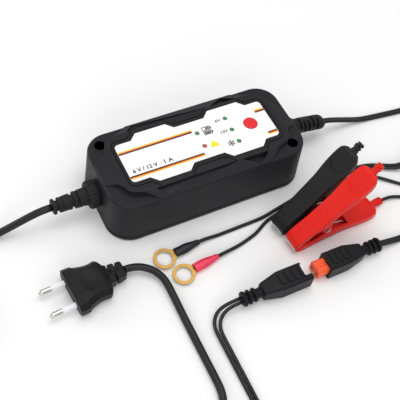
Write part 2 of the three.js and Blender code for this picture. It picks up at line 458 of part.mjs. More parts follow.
// behind the pivot the handles spread apart
const spread = (list) => list.map(([s, t]) => [s, s > 28 && t > 0 ? t + 0.1 * (s - 28) : t]);
const OUT = spread([[0, 1.9], [1.2, 5.0], [5, 7.8], [12, 9.8], [20, 11.6], [28, 14.0], [38, 17.6], [50, 21.3], [62, 24.9], [69, 27.2], [72, 26.9], [73.2, 25.2]]);
const INN = spread([[72.2, 20.6], [62, 17.6], [50, 13.4], [40, 9.6], [33, 7.2], [30, 5.4], [25, 5.0], [18, 5.0], [12, 3.2], [6, 1.3], [1.5, 0.45], [0.2, 0.35]]);
const planOutline = (d) => { // half widths along the arm
  const W = [[-1, 6.6], [0.6, 6.9], [10, 7.0], [28, 7.5], [42, 7.7], [52, 8.9], [62, 9.4], [69, 8.6], [72.4, 6.0], [75, 3.4]];
  const up = W.map(([s, w]) => [s, Math.max(1, w - d)]);
  return [...up.map(([s, w]) => [s, -w]), ...up.slice().reverse()];
};
function clampArm(side, upper) {
  const prof = [...OUT, ...INN];
  let a = solid(prismY(prof, -12, 12)).intersect(solid(prism(planOutline(0), -5, 40)));
  // channel between the side walls, open to the inside
  const ch = spread([[1.6, -5], [71.4, -5], [71.4, 22.5], [69, 24.4], [62, 22.9], [50, 19.3], [38, 15.3], [28, 11.7], [20, 9.4], [12, 7.6], [5, 5.6], [2.4, 3.4], [1.6, 1.6]]);
  a = cut(a, solid(prismY(ch, -12, 12)).intersect(solid(prism(planOutline(1.9), -9, 40))));
  // ears around the pivot: outside ones on the upper arm, inside ones on the lower arm
  const ear = [[22.6, 6.5], [23.6, -0.8], [25.4, -3.2], [28, -4.1], [30.6, -3.2], [32.4, -0.8], [34.5, 10.5], [28, 10.2]];
  const y0 = upper ? 5.55 : 3.3, y1 = upper ? 7.4 : 5.1;
  for (const s of [-1, 1]) a = join(a, solid(prismY(ear, Math.min(s * y0, s * y1), Math.max(s * y0, s * y1))));
  if (!upper) {
    // bridges carry the inner ears
    for (const s of [-1, 1]) a = join(a, solid(prismY([[20.4, 6.0], [36.4, 9.0], [36.4, 12.4], [20.4, 9.2]], Math.min(s * 3.3, s * 5.9), Math.max(s * 3.3, s * 5.9))));
  }
  a = cut(a, solid(cylY(PIV[0], PIV[1], 1.8, -12, 12, 10)));
  // boot at the rear end
  const boot = solid(latheX([[0, 70.6], [2.9, 70.6], [2.9, 75.4], [2.2, 75.6], [2.2, 77.0], [3.0, 77.2], [3.0, 81.4], [1.7, 82], [0, 82]], 0, 0, 10));
  const m = new THREE.Matrix4();
  return { arm: a, boot };
}
function placeBoot(man, ang, px, pt) {
  // turn about y and move: rows of a 3 x 4 column-major transform
  const c = Math.cos(ang), s = Math.sin(ang);
  return man.transform([c, 0, s, 0, 0, 1, 0, 0, -s, 0, c, 0, px, 0, pt, 1]);
}
const PITCH = Math.atan2(CLAMP_REST[1][1] - CLAMP_REST[0][1], CLAMP_REST[1][0] - CLAMP_REST[0][0]);
const NOSE_Z = 0.05 - (CLAMP_REST[0][0] * Math.sin(PITCH) - CLAMP_REST[0][1] * Math.cos(PITCH));
const BOOT_ANG = 23 * Math.PI / 180, BOOT_P = [71.0, 27.9];
function clamp(tag, nose, heading, armMat) {
  const g = new THREE.Group();
  g.position.set(nose[0], nose[1], NOSE_Z);
  g.rotation.order = 'ZYX';
  g.rotation.z = heading * Math.PI / 180;
  g.rotation.y = -PITCH;
  group.add(g);
  const flip = (man) => man.transform([1, 0, 0, 0, 0, -1, 0, 0, 0, 0, -1, 0, 0, 0, 0, 1]);
  const bootAt = (man) => placeBoot(man, BOOT_ANG, BOOT_P[0] - 70.6 * Math.cos(BOOT_ANG), BOOT_P[1] - 70.6 * Math.sin(BOOT_ANG));
  for (const [n, upper] of [['upper', true], ['lower', false]]) {
    const { arm, boot } = clampArm(tag, upper);
    let b = join(arm, bootAt(boot));
    if (!upper) b = flip(b);
    add(`${tag}_clamp_${n}_arm`, b, armMat, g);
    // toothed jaw plate inside the nose
    const top = [[17.5, 7.9], [12, 6.9], [5, 5.0], [2.9, 3.2]];
    const inn = [[17.5, 6.3], [14, 5.0], [12.6, 3.2], [11.6, 4.2], [10.6, 2.2], [9.6, 3.6], [8.6, 1.6], [7.6, 2.8], [6.6, 1.0], [5.6, 2.0], [4.6, 0.6], [3.6, 1.4], [2.9, 0.5], [2.0, 0.42]];
    let j = solid(prismY([...inn.slice().reverse(), ...top], -4.6, 4.6));
    j = cut(j, solid(prismY([[5, -1], [18.5, -1], [18.5, 6.1], [12, 5.4], [5, 3.2]], -3.4, 3.4)));
    if (!upper) j = flip(j);
    add(`${tag}_clamp_${n}_jaw`, j, MAT.copper, g);
  }
  add(`${tag}_clamp_pin`, (() => { const p = lathe([[0, -8.5], [2.4, -8.5], [2.6, -8.2], [2.6, -7.8], [1.5, -7.7], [1.5, 7.7], [2.6, 7.8], [2.6, 8.2], [2.4, 8.5], [0, 8.5]], 10); p.rotateX(Math.PI / 2); p.translate(PIV[0], 0, PIV[1]); return p; })(), MAT.steel, g);
  // torsion spring: its wound part as one ring, with a leg to each handle
  {
    const c = lathe([[2.0, -2.9], [3.3, -2.9], [3.3, 2.9], [2.0, 2.9], [2.0, -2.9]], 12);
    c.rotateX(Math.PI / 2); c.translate(PIV[0], 0, PIV[1]);
    const leg = (y, d) => solid(prismY([[PIV[0] + 1, d * 2.3], [PIV[0] + 22, d * 15.5], [PIV[0] + 21.4, d * 16.5], [PIV[0], d * 3.2]], y - 0.5, y + 0.5));
    add(`${tag}_clamp_spring`, join(solid(c), leg(2.3, 1), leg(-2.3, -1)), MAT.steel, g);
  }
  group.updateMatrixWorld(true);
  const tip = V3(BOOT_P[0] + 11.7 * Math.cos(BOOT_ANG), 0, -(BOOT_P[1] + 11.7 * Math.sin(BOOT_ANG))).applyMatrix4(g.matrixWorld);
  return tip;
}
const redTip = clamp('red', [37.5, -86.0], 5.0, MAT.clampred);
const blackTip = clamp('black', [34.8, -69.6], 9.5, MAT.clampblk);

// ---------------------------------------------------------------- single wires of the two adapter leads
const WZ = WIRE_D / 2 + 0.05, PAIR = 1.5;
// the same corner list moved sideways by d, to the left of its direction
function beside(corners, d) {
  return corners.map((c, i) => {
    const a = corners[Math.max(0, i - 1)], b = corners[Math.min(corners.length - 1, i + 1)];
    const u = V2(c[0] - a[0], c[1] - a[1]), v = V2(b[0] - c[0], b[1] - c[1]);
    if (u.length() < 1e-6) u.copy(v);
    if (v.length() < 1e-6) v.copy(u);
    u.normalize(); v.normalize();
    const m = V2(-u.y - v.y, u.x + v.x).normalize(), k = d / Math.max(0.4, m.dot(V2(-u.y, u.x)));
    return [c[0] + m.x * k, c[1] + m.y * k, c[2], Math.max(0, (c[3] || 0))];
  });
}
const clampShared = [[168, -86, WZ, 14], [168, -96, WZ, 16], [168, -104, 4.8, 16], [168, -114, 4.8, 16], [168, -124, WZ, 16], [150, -140, WZ, 20], [62, -224, WZ, 24], [30, -224, WZ, 30], [-42, -196, WZ, 14], [-42, CONN_Y, 3.2, 13.5], [-22.5, CONN_Y, 7.3, 10], [FEMALE_X - 56.4, CONN_Y, 7.3, 0]];
for (const [name, tip, h, first, d] of [['clamp_wire_black', blackTip, 9.5, [[150, -70.5, WZ, 18], [166, -76, WZ, 14]], PAIR], ['clamp_wire_red', redTip, 5, [[146, -82.2, WZ, 18], [160, -84, WZ, 12]], -PAIR]]) {
  const c = Math.cos(h * Math.PI / 180), s = Math.sin(h * Math.PI / 180);
  add(name, tube([[tip.x, tip.y, tip.z, 0], [tip.x + 9 * c, tip.y + 9 * s, WZ + 0.9, 14], ...first.slice(0, 1), ...beside(clampShared, d)], WIRE_D, WIRE_D, 8, 7.8), MAT.cord);
}

// ---------------------------------------------------------------- ring terminals with their sleeves
const RZ = 2.95;
function ringTerminal(tag, centre, towards, sleeveMat) {
  const g = new THREE.Group();
  g.position.set(centre[0], centre[1], RZ);
  g.rotation.z = Math.atan2(towards[1] - centre[1], towards[0] - centre[0]);
  group.add(g);
  let t = join(solid(cylZ(0, 0, RING_R, -1.0, -1.0 + RING_T, 28)), solid(prism([[6, -2.4], [9.5, -1.6], [12, -1.5], [12, 1.5], [9.5, 1.6], [6, 2.4]], -1.0, -1.0 + RING_T)), solid(cylX(0, 0, 1.6, 10.5, 19.0, 12)));
  t = cut(t, solid(cylZ(0, 0, RING_HOLE_R, -3, 3, 28)), solid(cylX(0, 0, 0.7, 8, 16.5, 8)));
  add(`${tag}_ring_terminal`, t, MAT.brass, g);
  add(`${tag}_ring_sleeve`, latheX([[2.05, 8.7], [2.4, 8.7], [2.65, 12], [2.85, 17], [2.75, 22], [2.3, 28.6], [1.6, 28.7], [1.6, 19.6], [2.05, 19.4], [2.05, 8.7]], 0, 0, 14), sleeveMat, g);
  group.updateMatrixWorld(true);
  return [V3(19.3, 0, 0).applyMatrix4(g.matrixWorld), V3(33, 0, 0).applyMatrix4(g.matrixWorld)];
}
const [rb0, rb1] = ringTerminal('black', [-51.8, -59.7], [-23.4, -56.9], MAT.clampblk);
const [rr0, rr1] = ringTerminal('red', [-44.4, -76.4], [-13.2, -72.8], MAT.crimson);
const RC = [221.8, -57.0];                // mouth of the ring lead's connector
add('ring_wire_black', tube([[rb0.x, rb0.y, RZ, 0], [rb1.x, rb1.y, RZ, 14], [-8, -56.6, WZ, 20], [30, -56.0, WZ, 30], [112, -40.9, WZ, 30], [136, -44.3, WZ, 20], [157, RC[1] + PAIR, 3.6, 12], [RC[0] - 56.8, RC[1] + PAIR, 7.2, 0]], WIRE_D, WIRE_D, 8, 7.8), MAT.cord);
add('ring_wire_red', tube([[rr0.x, rr0.y, RZ, 0], [rr1.x, rr1.y, RZ, 14], [4, -70.4, WZ, 20], [20, -66.4, WZ, 16], [33, -59.2, WZ, 20], [112, -44.5, WZ, 30], [136, -47.4, WZ, 20], [157, RC[1] - PAIR, 3.6, 12], [RC[0] - 56.8, RC[1] - PAIR, 7.2, 0]], WIRE_D, WIRE_D, 8, 7.8), MAT.cord);
{
  const con = new THREE.Group();
  con.position.set(RC[0], RC[1], 7.3);
  group.add(con);
  add('ring_connector_shell', femaleShell(), MAT.conn, con);
  add('ring_contact_left', contactPin(1), MAT.brass, con);
  add('ring_contact_right', contactPin(-1), MAT.brass, con);
}

export default group;
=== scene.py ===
# Looks of a car battery charger with its leads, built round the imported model. Metres, +Z up.
import math
import random
import bmesh
import bpy
import numpy as np
from mathutils import Matrix, Vector


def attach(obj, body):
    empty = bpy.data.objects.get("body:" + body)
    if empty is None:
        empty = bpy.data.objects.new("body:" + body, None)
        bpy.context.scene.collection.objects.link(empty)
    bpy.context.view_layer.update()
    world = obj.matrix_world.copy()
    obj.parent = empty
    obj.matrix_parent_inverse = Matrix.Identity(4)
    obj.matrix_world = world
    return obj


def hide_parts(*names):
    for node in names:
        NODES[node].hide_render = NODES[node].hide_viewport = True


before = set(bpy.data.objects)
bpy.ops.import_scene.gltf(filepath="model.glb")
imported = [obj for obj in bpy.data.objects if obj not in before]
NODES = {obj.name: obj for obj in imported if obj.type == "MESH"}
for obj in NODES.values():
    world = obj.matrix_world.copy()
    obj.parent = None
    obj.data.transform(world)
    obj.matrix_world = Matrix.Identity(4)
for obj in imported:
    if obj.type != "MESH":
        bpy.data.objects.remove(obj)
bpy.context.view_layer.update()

MM = 0.001
random.seed(7)

# ------------------------------------------------------------------ camera, at the photograph's angle
cam_data = bpy.data.cameras.new("camera")
cam_data.sensor_fit = "HORIZONTAL"
cam_data.sensor_width = 36.0
cam_data.lens = 36.0 * 769.07 / 400.0
cam_data.clip_start, cam_data.clip_end = 0.01, 20.0
camera = bpy.data.objects.new("camera", cam_data)
bpy.context.scene.collection.objects.link(camera)
c_right, c_up, c_fwd = Vector((0.89064814, -0.44175446, 0.1076981)), Vector((0.31372765, 0.76848538, 0.55767838)), Vector((0.32912133, 0.46290734, -0.82304067))
camera.matrix_world = Matrix(((c_right.x, c_up.x, -c_fwd.x, -0.196494), (c_right.y, c_up.y, -c_fwd.y, -0.292301), (c_right.z, c_up.z, -c_fwd.z, 0.479073), (0, 0, 0, 1)))
bpy.context.scene.camera = camera

# ------------------------------------------------------------------ mesh helpers (mm in, metres out)
def mesh_object(name, verts, faces, smooth=True):
    me = bpy.data.meshes.new(name)
    me.from_pydata([tuple(c * MM for c in v) for v in verts], [], faces)
    me.update()
    ob = bpy.data.objects.new(name, me)
    bpy.context.scene.collection.objects.link(ob)
    if smooth:
        me.polygons.foreach_set("use_smooth", [True] * len(me.polygons))
    return ob


def route(corners, step):
    """Straight legs with rounded corners: [x, y, z, radius]."""
    P = [Vector(c[:3]) for c in corners]
    out = [P[0].copy()]
    for i in range(1, len(P) - 1):
        u, v = (P[i] - P[i - 1]).normalized(), (P[i + 1] - P[i]).normalized()
        phi = math.acos(max(-1.0, min(1.0, u.dot(v))))
        R = corners[i][3]
        if phi < 1e-3 or R == 0:
            out.append(P[i].copy())
            continue
        A = P[i] - u * (R * math.tan(phi / 2))
        nrm = (v - u * u.dot(v)).normalized()
        C = A + nrm * R
        n = max(4, math.ceil(R * phi / step))
        for k in range(n + 1):
            a = phi * k / n
            out.append(C - nrm * (R * math.cos(a)) + u * (R * math.sin(a)))
    out.append(P[-1].copy())
    return out


def resample(pts, step):
    p = np.array([list(q) for q in pts], float)
    s = np.concatenate([[0], np.cumsum(np.linalg.norm(np.diff(p, axis=0), axis=1))])
    n = max(2, int(round(s[-1] / step)) + 1)
    at = np.linspace(0, s[-1], n)
    return np.stack([np.interp(at, s, p[:, k]) for k in range(3)], axis=1)


def smoothed(pts, times):
    p = np.array(pts, float)
    for _ in range(times):
        q = p.copy()
        q[1:-1] = 0.25 * p[:-2] + 0.5 * p[1:-1] + 0.25 * p[2:]
        p = q
    return p


def sweep(name, pts, section, up=(0, 0, 1), closed_ends=True):
    """A tube of a given section (list of (side, up) in mm) along points, kept level with up."""
    p = np.array(pts, float)
    n, m = len(p), len(section)
    t = np.gradient(p, axis=0)
    t /= np.linalg.norm(t, axis=1)[:, None]
    up = np.array(up, float)
    verts = []
    for i in range(n):
        side = np.cross(up, t[i])
        if np.linalg.norm(side) < 1e-6:
            side = np.array([0.0, 1.0, 0.0])
        side /= np.linalg.norm(side)
        top = np.cross(t[i], side)
        for a, b in section:
            verts.append(p[i] + side * a + top * b)
    faces = [(i * m + k, i * m + (k + 1) % m, (i + 1) * m + (k + 1) % m, (i + 1) * m + k) for i in range(n - 1) for k in range(m)]
    if closed_ends:
        faces.append(tuple(range(m - 1, -1, -1)))
        faces.append(tuple((n - 1) * m + k for k in range(m)))
    ob = mesh_object(name, verts, faces)
    return ob


def circle(r, n):
    return [(r * math.cos(2 * math.pi * k / n), r * math.sin(2 * math.pi * k / n)) for k in range(n)]


# ------------------------------------------------------------------ cords: the routes of the CAD model, in mm
MAINS_D, DC_W, DC_H, WIRE_D = 5.4, 5.0, 2.6, 2.6
MZ, DZ, WZ = MAINS_D / 2 + 0.05, DC_H / 2 + 0.05, WIRE_D / 2 + 0.05
COIL1, COIL1_RM = (-216.0, -38.0), 31.0
COIL2, COIL2_RM = (262.0, -45.0), 27.0
C1R = COIL1_RM + 1.5 * MAINS_D + 0.3 + MAINS_D / 2
C2R = COIL2_RM + 1.5 * (DC_W + 0.2) + 0.3 + DC_W / 2
CONN_Y, FEMALE_X, MALE_X = -112.5, 38.0, 50.2
PLUG_TAIL, PLUG_HEADING = (-83.3, -59.0), math.radians(4.0)


def coil(centre, radii, zs, a_in, a_out, direction, step=7.0):
    """Turns from the outer radius inwards on each layer in turn; angles in radians, direction +1 anticlockwise. Enters at a_in and leaves at a_out on the outside."""
    seq = []
    for layer, z in enumerate(zs):
        rs = list(radii) if layer % 2 == 0 else list(radii)[::-1]
        seq += [(r, z) for r in rs]
    turns = len(seq)
    extra = ((a_out - a_in) * direction) % (2 * math.pi)
    total = turns * 2 * math.pi - (2 * math.pi - extra if extra > 1e-6 else 0)
    out, n = [], int(total * (sum(radii) / len(radii)) / step)
    for k in range(n + 1):
        f = total * k / n
        j = f / (2 * math.pi)
        i = min(turns - 1, int(j))
        fr = j - i
        r0, z0 = seq[i]
        r1, z1 = seq[min(turns - 1, i + 1)]
        blend = max(0.0, min(1.0, (fr - 0.72) / 0.28))
        blend = blend * blend * (3 - 2 * blend)
        r, z = r0 + (r1 - r0) * blend, z0 + (z1 - z0) * blend
        a = a_in + direction * f
        out.append((centre[0] + r * math.cos(a), centre[1] + r * math.sin(a), z))
    return out


# mains: from the gland's bend relief over the floor into its coil, and on to the plug
near = route([[-113.2, 0, 20, 0], [-122, 0, 20, 26], [-156, 3.4, MZ, 30], [COIL1[0] + 12, COIL1[1] + C1R, MZ, 0]], 3.0)
h = PLUG_HEADING
ex, ey = PLUG_TAIL[0] + 0.3 * math.cos(h), PLUG_TAIL[1] + 0.3 * math.sin(h)
cx = -59.0
cy = ey + (cx - ex) * math.tan(h)
k1 = C1R * math.sqrt(0.5)
sx, sy = COIL1[0] - k1, COIL1[1] - k1
far = route([[sx + 3, sy - 3, MZ, 0], [sx + 22, sy - 22, MZ, 40], [-206, -118, MZ, 40], [-170, -150, MZ, 60], [cx, -196, MZ, 24], [cx, -110, MZ, 60], [cx, cy, 6.0, 21.4], [ex + 1.8 * math.cos(h), ey + 1.8 * math.sin(h), 6.9, 0], [ex, ey, 6.9, 0]], 3.0)
d = MAINS_D
turns1 = coil(COIL1, [COIL1_RM + d, COIL1_RM, COIL1_RM - d], [MZ, MZ + d], math.radians(90), math.radians(225), 1, 5.0)
mains_line = smoothed(resample([*near, *turns1, *far], 3.0), 3)
# output lead
near2 = route([[115.2, 0, 14.9, 0], [122, 0, 13.4, 22], [156, -2, DZ, 30], [194, -6.3, DZ, 60], [COIL2[0] - 12, COIL2[1] + C2R, DZ, 0]], 3.0)
far2 = route([[COIL2[0] - 12, COIL2[1] - C2R, DZ, 0], [190, -104, DZ, 60], [136, CONN_Y, DZ, 60], [120, CONN_Y, DZ, 30], [97.6, CONN_Y, 7.3, 0]], 3.0)
w2 = DC_W + 0.2
turns2 = coil(COIL2, [COIL2_RM + w2, COIL2_RM, COIL2_RM - w2], [DZ, DZ + DC_H + 0.05], math.radians(90), math.radians(270), -1, 5.0)
dc_line = smoothed(resample([*near2, *turns2, *far2], 3.0), 3)


def beside(corners, d):
    out = []
    for i, c in enumerate(corners):
        a, b = corners[max(0, i - 1)], corners[min(len(corners) - 1, i + 1)]
        u, v = Vector((c[0] - a[0], c[1] - a[1])), Vector((b[0] - c[0], b[1] - c[1]))
        if u.length < 1e-6: u = v.copy()
        if v.length < 1e-6: v = u.copy()
        u.normalize(); v.normalize()
        m = Vector((-u.y - v.y, u.x + v.x)).normalized()
        k = d / max(0.4, m.dot(Vector((-u.y, u.x))))
        out.append([c[0] + m.x * k, c[1] + m.y * k, c[2], c[3]])
    return out


PITCH = math.atan2(31.3 - 7.8, 69 - 5)
NOSE_Z = 0.05 - (5 * math.sin(PITCH) - 7.8 * math.cos(PITCH))
CLAMPS = {"red": ((37.5, -86.0), math.radians(5.0)), "black": ((34.8, -69.6), math.radians(9.5))}


def clamp_matrix(tag):
    (x, y), a = CLAMPS[tag]
    return Matrix.Translation((x, y, NOSE_Z)) @ Matrix.Rotation(a, 4, "Z") @ Matrix.Rotation(-PITCH, 4, "Y")


shared = [[168, -86, WZ, 14], [168, -96, WZ, 16], [168, -104, 4.8, 16], [168, -114, 4.8, 16], [168, -124, WZ, 16], [150, -140, WZ, 20], [62, -224, WZ, 24], [30, -224, WZ, 30], [-42, -196, WZ, 14], [-42, CONN_Y, 3.2, 13.5], [-22.5, CONN_Y, 7.3, 10], [FEMALE_X - 56.4, CONN_Y, 7.3, 0]]
wire_lines = {}
for tag, first, dd in (("black", [150, -70.5, WZ, 18], 1.5), ("red", [146, -82.2, WZ, 18], -1.5)):
    a = CLAMPS[tag][1]
    boot = math.radians(23)
    tip = clamp_matrix(tag) @ Vector((71.0 + 11.7 * math.cos(boot), 0, -(27.9 + 11.7 * math.sin(boot))))
    # the wire runs on through the bored boot into the lower handle, where it is crimped
    crimp, bend = clamp_matrix(tag) @ Vector((48.0, 0, -17.0)), clamp_matrix(tag) @ Vector((62.0, 0, -23.6))
    pts = route([[*crimp, 0], [*bend, 20], [tip.x + 9 * math.cos(a), tip.y + 9 * math.sin(a), WZ + 0.9, 14], first, *beside(shared, dd)], 3.0)
    wire_lines["clamp_" + tag] = smoothed(resample(pts, 2.5), 3)
RZ, RC = 2.95, (221.8, -57.0)
RINGS = {"black": ((-51.8, -59.7), (-23.4, -56.9)), "red": ((-44.4, -76.4), (-13.2, -72.8))}
tails = {"black": [[-8, -56.6, WZ, 20], [30, -56.0, WZ, 30], [112, -40.9, WZ, 30], [136, -44.3, WZ, 20], [157, RC[1] + 1.5, 3.6, 12], [RC[0] - 56.4, RC[1] + 1.5, 7.3, 0]],
         "red": [[4, -70.4, WZ, 20], [20, -66.4, WZ, 16], [33, -59.2, WZ, 20], [112, -44.5, WZ, 30], [136, -47.4, WZ, 20], [157, RC[1] - 1.5, 3.6, 12], [RC[0] - 56.4, RC[1] - 1.5, 7.3, 0]]}
for tag, (c, to) in RINGS.items():
    u = Vector((to[0] - c[0], to[1] - c[1])).normalized()
    pts = route([[c[0] + 19.3 * u.x, c[1] + 19.3 * u.y, RZ, 0], [c[0] + 33 * u.x, c[1] + 33 * u.y, RZ, 14], *tails[tag]], 3.0)
    wire_lines["ring_" + tag] = smoothed(resample(pts, 2.5), 3)

cords = {}
cords["mains"] = sweep("mains_lead", mains_line, circle(MAINS_D / 2, 20))
# two cores side by side with a groove between them
r8, off8, sec8 = DC_H / 2, (DC_W - DC_H) / 2, []
for k in range(15):
    a = math.radians(-112 + 224 * k / 14)
    sec8.append((off8 + r8 * math.cos(a), r8 * math.sin(a)))
for k in range(15):
    a = math.radians(68 + 224 * k / 14)
    sec8.append((-off8 + r8 * math.cos(a), r8 * math.sin(a)))
cords["dc"] = sweep("output_lead", dc_line, sec8)
for key, line in wire_lines.items():
    cords[key] = sweep("wire_" + key, line, circle(WIRE_D / 2, 14))


def metres(line):
    return [tuple(float(c) * MM for c in p) for p in line]


# ------------------------------------------------------------------ solid helpers (millimetres until piece() places them)
def raw(name, verts, faces):
    me = bpy.data.meshes.new(name)
    me.from_pydata([tuple(map(float, v)) for v in verts], [], faces)
    bm = bmesh.new()
    bm.from_mesh(me)
    bmesh.ops.remove_doubles(bm, verts=bm.verts, dist=1e-4)
    bmesh.ops.recalc_face_normals(bm, faces=bm.faces)
    bm.to_mesh(me)
    bm.free()
    ob = bpy.data.objects.new(name, me)
    bpy.context.scene.collection.objects.link(ob)
    return ob


def loft(rings, name="work"):
    n = len(rings[0])
    verts = [p for r in rings for p in r]
    faces = [(k * n + i, k * n + (i + 1) % n, (k + 1) * n + (i + 1) % n, (k + 1) * n + i) for k in range(len(rings) - 1) for i in range(n)]
    faces.append(tuple(range(n - 1, -1, -1)))
    faces.append(tuple((len(rings) - 1) * n + k for k in range(n)))
    return raw(name, verts, faces)


def loft_z(rows):
    return loft([[(x, y, z) for x, y in pts] for z, pts in rows])


def loft_x(rows):
    return loft([[(x, a, b) for a, b in pts] for x, pts in rows])


def prism(pts, z0, z1):
    return loft_z([(z0, pts), (z1, pts)])


def prism_y(pts, y0, y1):
    return loft([[(x, y0, z) for x, z in pts], [(x, y1, z) for x, z in pts]])


def box(x0, x1, y0, y1, z0, z1):
    return prism([(x0, y0), (x1, y0), (x1, y1), (x0, y1)], z0, z1)


def ring_pts(cx, cy, r, n, a0=0.0):
    return [(cx + r * math.cos(a0 + 2 * math.pi * k / n), cy + r * math.sin(a0 + 2 * math.pi * k / n)) for k in range(n)]


def cyl_z(x, y, r, z0, z1, n=32):
    return prism(ring_pts(x, y, r, n), z0, z1)


def cyl_x(y, z, r, x0, x1, n=32):
    return loft_x([(x0, ring_pts(y, z, r, n)), (x1, ring_pts(y, z, r, n))])


def cyl_y(x, z, r, y0, y1, n=24):
    return prism_y(ring_pts(x, z, r, n), y0, y1)


def lathe(profile, n=32, name="work"):
    """profile (radius, height) about Z; a radius of 0 closes the form, otherwise first and last points are the same."""
    verts, rows = [], []
    for r, h in profile:
        if r < 1e-6:
            rows.append([len(verts)])
            verts.append((0, 0, h))
        else:
            rows.append(list(range(len(verts), len(verts) + n)))
            verts += [(r * math.cos(2 * math.pi * k / n), r * math.sin(2 * math.pi * k / n), h) for k in range(n)]
    faces = []
    for a, b in zip(rows, rows[1:]):
        for k in range(n):
            k2 = (k + 1) % n
            if len(a) == 1 and len(b) == 1:
                continue
            if len(a) == 1:
                faces.append((a[0], b[k], b[k2]))
            elif len(b) == 1:
                faces.append((a[k], a[k2], b[0]))
            else:
                faces.append((a[k], a[k2], b[k2], b[k]))
    return raw(name, verts, faces)


def moved(ob, m):
    ob.data.transform(m)
    if m.determinant() < 0:
        ob.data.flip_normals()
    return ob


def lathe_x(profile, y, z, n=32):
    """profile (radius, x) about an axis along X."""
    ob = lathe(profile, n)
    return moved(ob, Matrix.Translation((0, y, z)) @ Matrix.Rotation(math.pi / 2, 4, "Y"))


def rrect(hx, hy, r, n=12, cx=0.0, cy=0.0):
    out = []
    for sx, sy, a0 in ((1, 1, 0), (-1, 1, 90), (-1, -1, 180), (1, -1, 270)):
        for k in range(n + 1):
            a = math.radians(a0 + 90 * k / n)
            out.append((cx + sx * (hx - r) + r * math.cos(a), cy + sy * (hy - r) + r * math.sin(a)))
    return out


def offset(pts, d):
    n, out = len(pts), []
    for i in range(n):
        a, b, c = Vector(pts[i - 1]), Vector(pts[i]), Vector(pts[(i + 1) % n])
        u, v = (b - a).normalized(), (c - b).normalized()
        n1, n2 = Vector((u.y, -u.x)), Vector((v.y, -v.x))
        m = (n1 + n2).normalized()
        k = d / max(0.3, m.dot(n1))
        out.append((b.x + m.x * k, b.y + m.y * k))
    return out


def rounded(pts, radius, n=5):
    """Closed polygon with its corners rounded; radius is one number or a list."""
    out, m = [], len(pts)
    for i in range(m):
        a, b, c = Vector(pts[i - 1]), Vector(pts[i]), Vector(pts[(i + 1) % m])
        r = radius[i] if isinstance(radius, (list, tuple)) else radius
        u, v = (a - b), (c - b)
        lu, lv = u.length, v.length
        u.normalize(); v.normalize()
        ang = math.acos(max(-1, min(1, u.dot(v))))
        if r <= 0 or ang > math.radians(177):
            out.append((b.x, b.y))
            continue
        t = min(r / math.tan(ang / 2), 0.49 * lu, 0.49 * lv)
        p, q = b + u * t, b + v * t
        for k in range(n + 1):
            f = k / n
            w = p * (1 - f) ** 2 + b * (2 * f * (1 - f)) + q * f ** 2
            out.append((w.x, w.y))
    return out


def evaluated(ob):
    dg = bpy.context.evaluated_depsgraph_get()
    me = bpy.data.meshes.new_from_object(ob.evaluated_get(dg), depsgraph=dg)
    ob.modifiers.clear()
    old = ob.data
    ob.data = me
    bpy.data.meshes.remove(old)
    return ob


def boolean(kind, a, bs):
    for b in bs:
        m = a.modifiers.new("b", "BOOLEAN")
        m.operation, m.solver, m.object = kind, "EXACT", b
    evaluated(a)
    for b in bs:
        bpy.data.objects.remove(b, do_unlink=True)
    return a


def cut(a, *bs):
    return boolean("DIFFERENCE", a, bs)


def join(a, *bs):
    return boolean("UNION", a, bs)


def meet(a, *bs):
    return boolean("INTERSECT", a, bs)


def together(*obs):
    """One object that holds several separate solids."""
    bm = bmesh.new()
    for o in obs:
        bm.from_mesh(o.data)
    me = bpy.data.meshes.new("work")
    bm.to_mesh(me)
    bm.free()
    for o in obs:
        bpy.data.objects.remove(o, do_unlink=True)
    ob = bpy.data.objects.new("work", me)
    bpy.context.scene.collection.objects.link(ob)
    return ob


def tidy(ob, flat=0.4, dist=0.01):
    bm = bmesh.new()
    bm.from_mesh(ob.data)
    bmesh.ops.remove_doubles(bm, verts=bm.verts, dist=dist)
    bmesh.ops.dissolve_degenerate(bm, edges=bm.edges, dist=dist)
    bmesh.ops.dissolve_limit(bm, angle_limit=math.radians(flat), verts=bm.verts, edges=bm.edges)
    bm.to_mesh(ob.data)
    bm.free()
    return ob


def bevelled(ob, width, segments=3, angle=30, profile=0.5, clean=True, clamp=False):
    if clean:
        tidy(ob)
    m = ob.modifiers.new("b", "BEVEL")
    m.width, m.segments, m.limit_method, m.angle_limit, m.profile = width, segments, "ANGLE", math.radians(angle), profile
    m.use_clamp_overlap = clamp
    m.miter_outer = "MITER_ARC"
    return evaluated(ob)


def shaded(ob, angle=None, weighted=True):
    me = ob.data
    me.polygons.foreach_set("use_smooth", [True] * len(me.polygons))
    if angle:
        me.set_sharp_from_angle(angle=math.radians(angle))
    if weighted:
        m = ob.modifiers.new("n", "WEIGHTED_NORMAL")
        m.keep_sharp, m.weight, m.mode = True, 60, "FACE_AREA"
        evaluated(ob)
    return ob


PIECES = {}


def piece(ob, name, material, body="charger", nodes=(), matrix=None, smooth=None, weighted=True):
    """Places a millimetre solid in the shared frame, in metres, and registers it."""
    if matrix is not None:
        moved(ob, matrix)
    ob.data.transform(Matrix.Scale(MM, 4))
    shaded(ob, smooth, weighted)
    ob.name = name
    ob.data.name = name
    ob.data.materials.clear()
    ob.data.materials.append(material)
    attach(ob, body)
    if nodes:
        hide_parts(*([nodes] if isinstance(nodes, str) else nodes))
    PIECES[name] = ob
    return ob


# ------------------------------------------------------------------ materials
def material(name):
    m = bpy.data.materials.new(name)
    m.use_nodes = True
    nt = m.node_tree
    nt.nodes.clear()
    out = nt.nodes.new("ShaderNodeOutputMaterial")
    b = nt.nodes.new("ShaderNodeBsdfPrincipled")
    nt.links.new(b.outputs[0], out.inputs[0])
    return m, nt, b


def srgb(r, g, b):
    f = lambda c: c / 12.92 if c <= 0.04045 else ((c + 0.055) / 1.055) ** 2.4
    return tuple(f(c / 255) for c in (r, g, b)) + (1.0,)


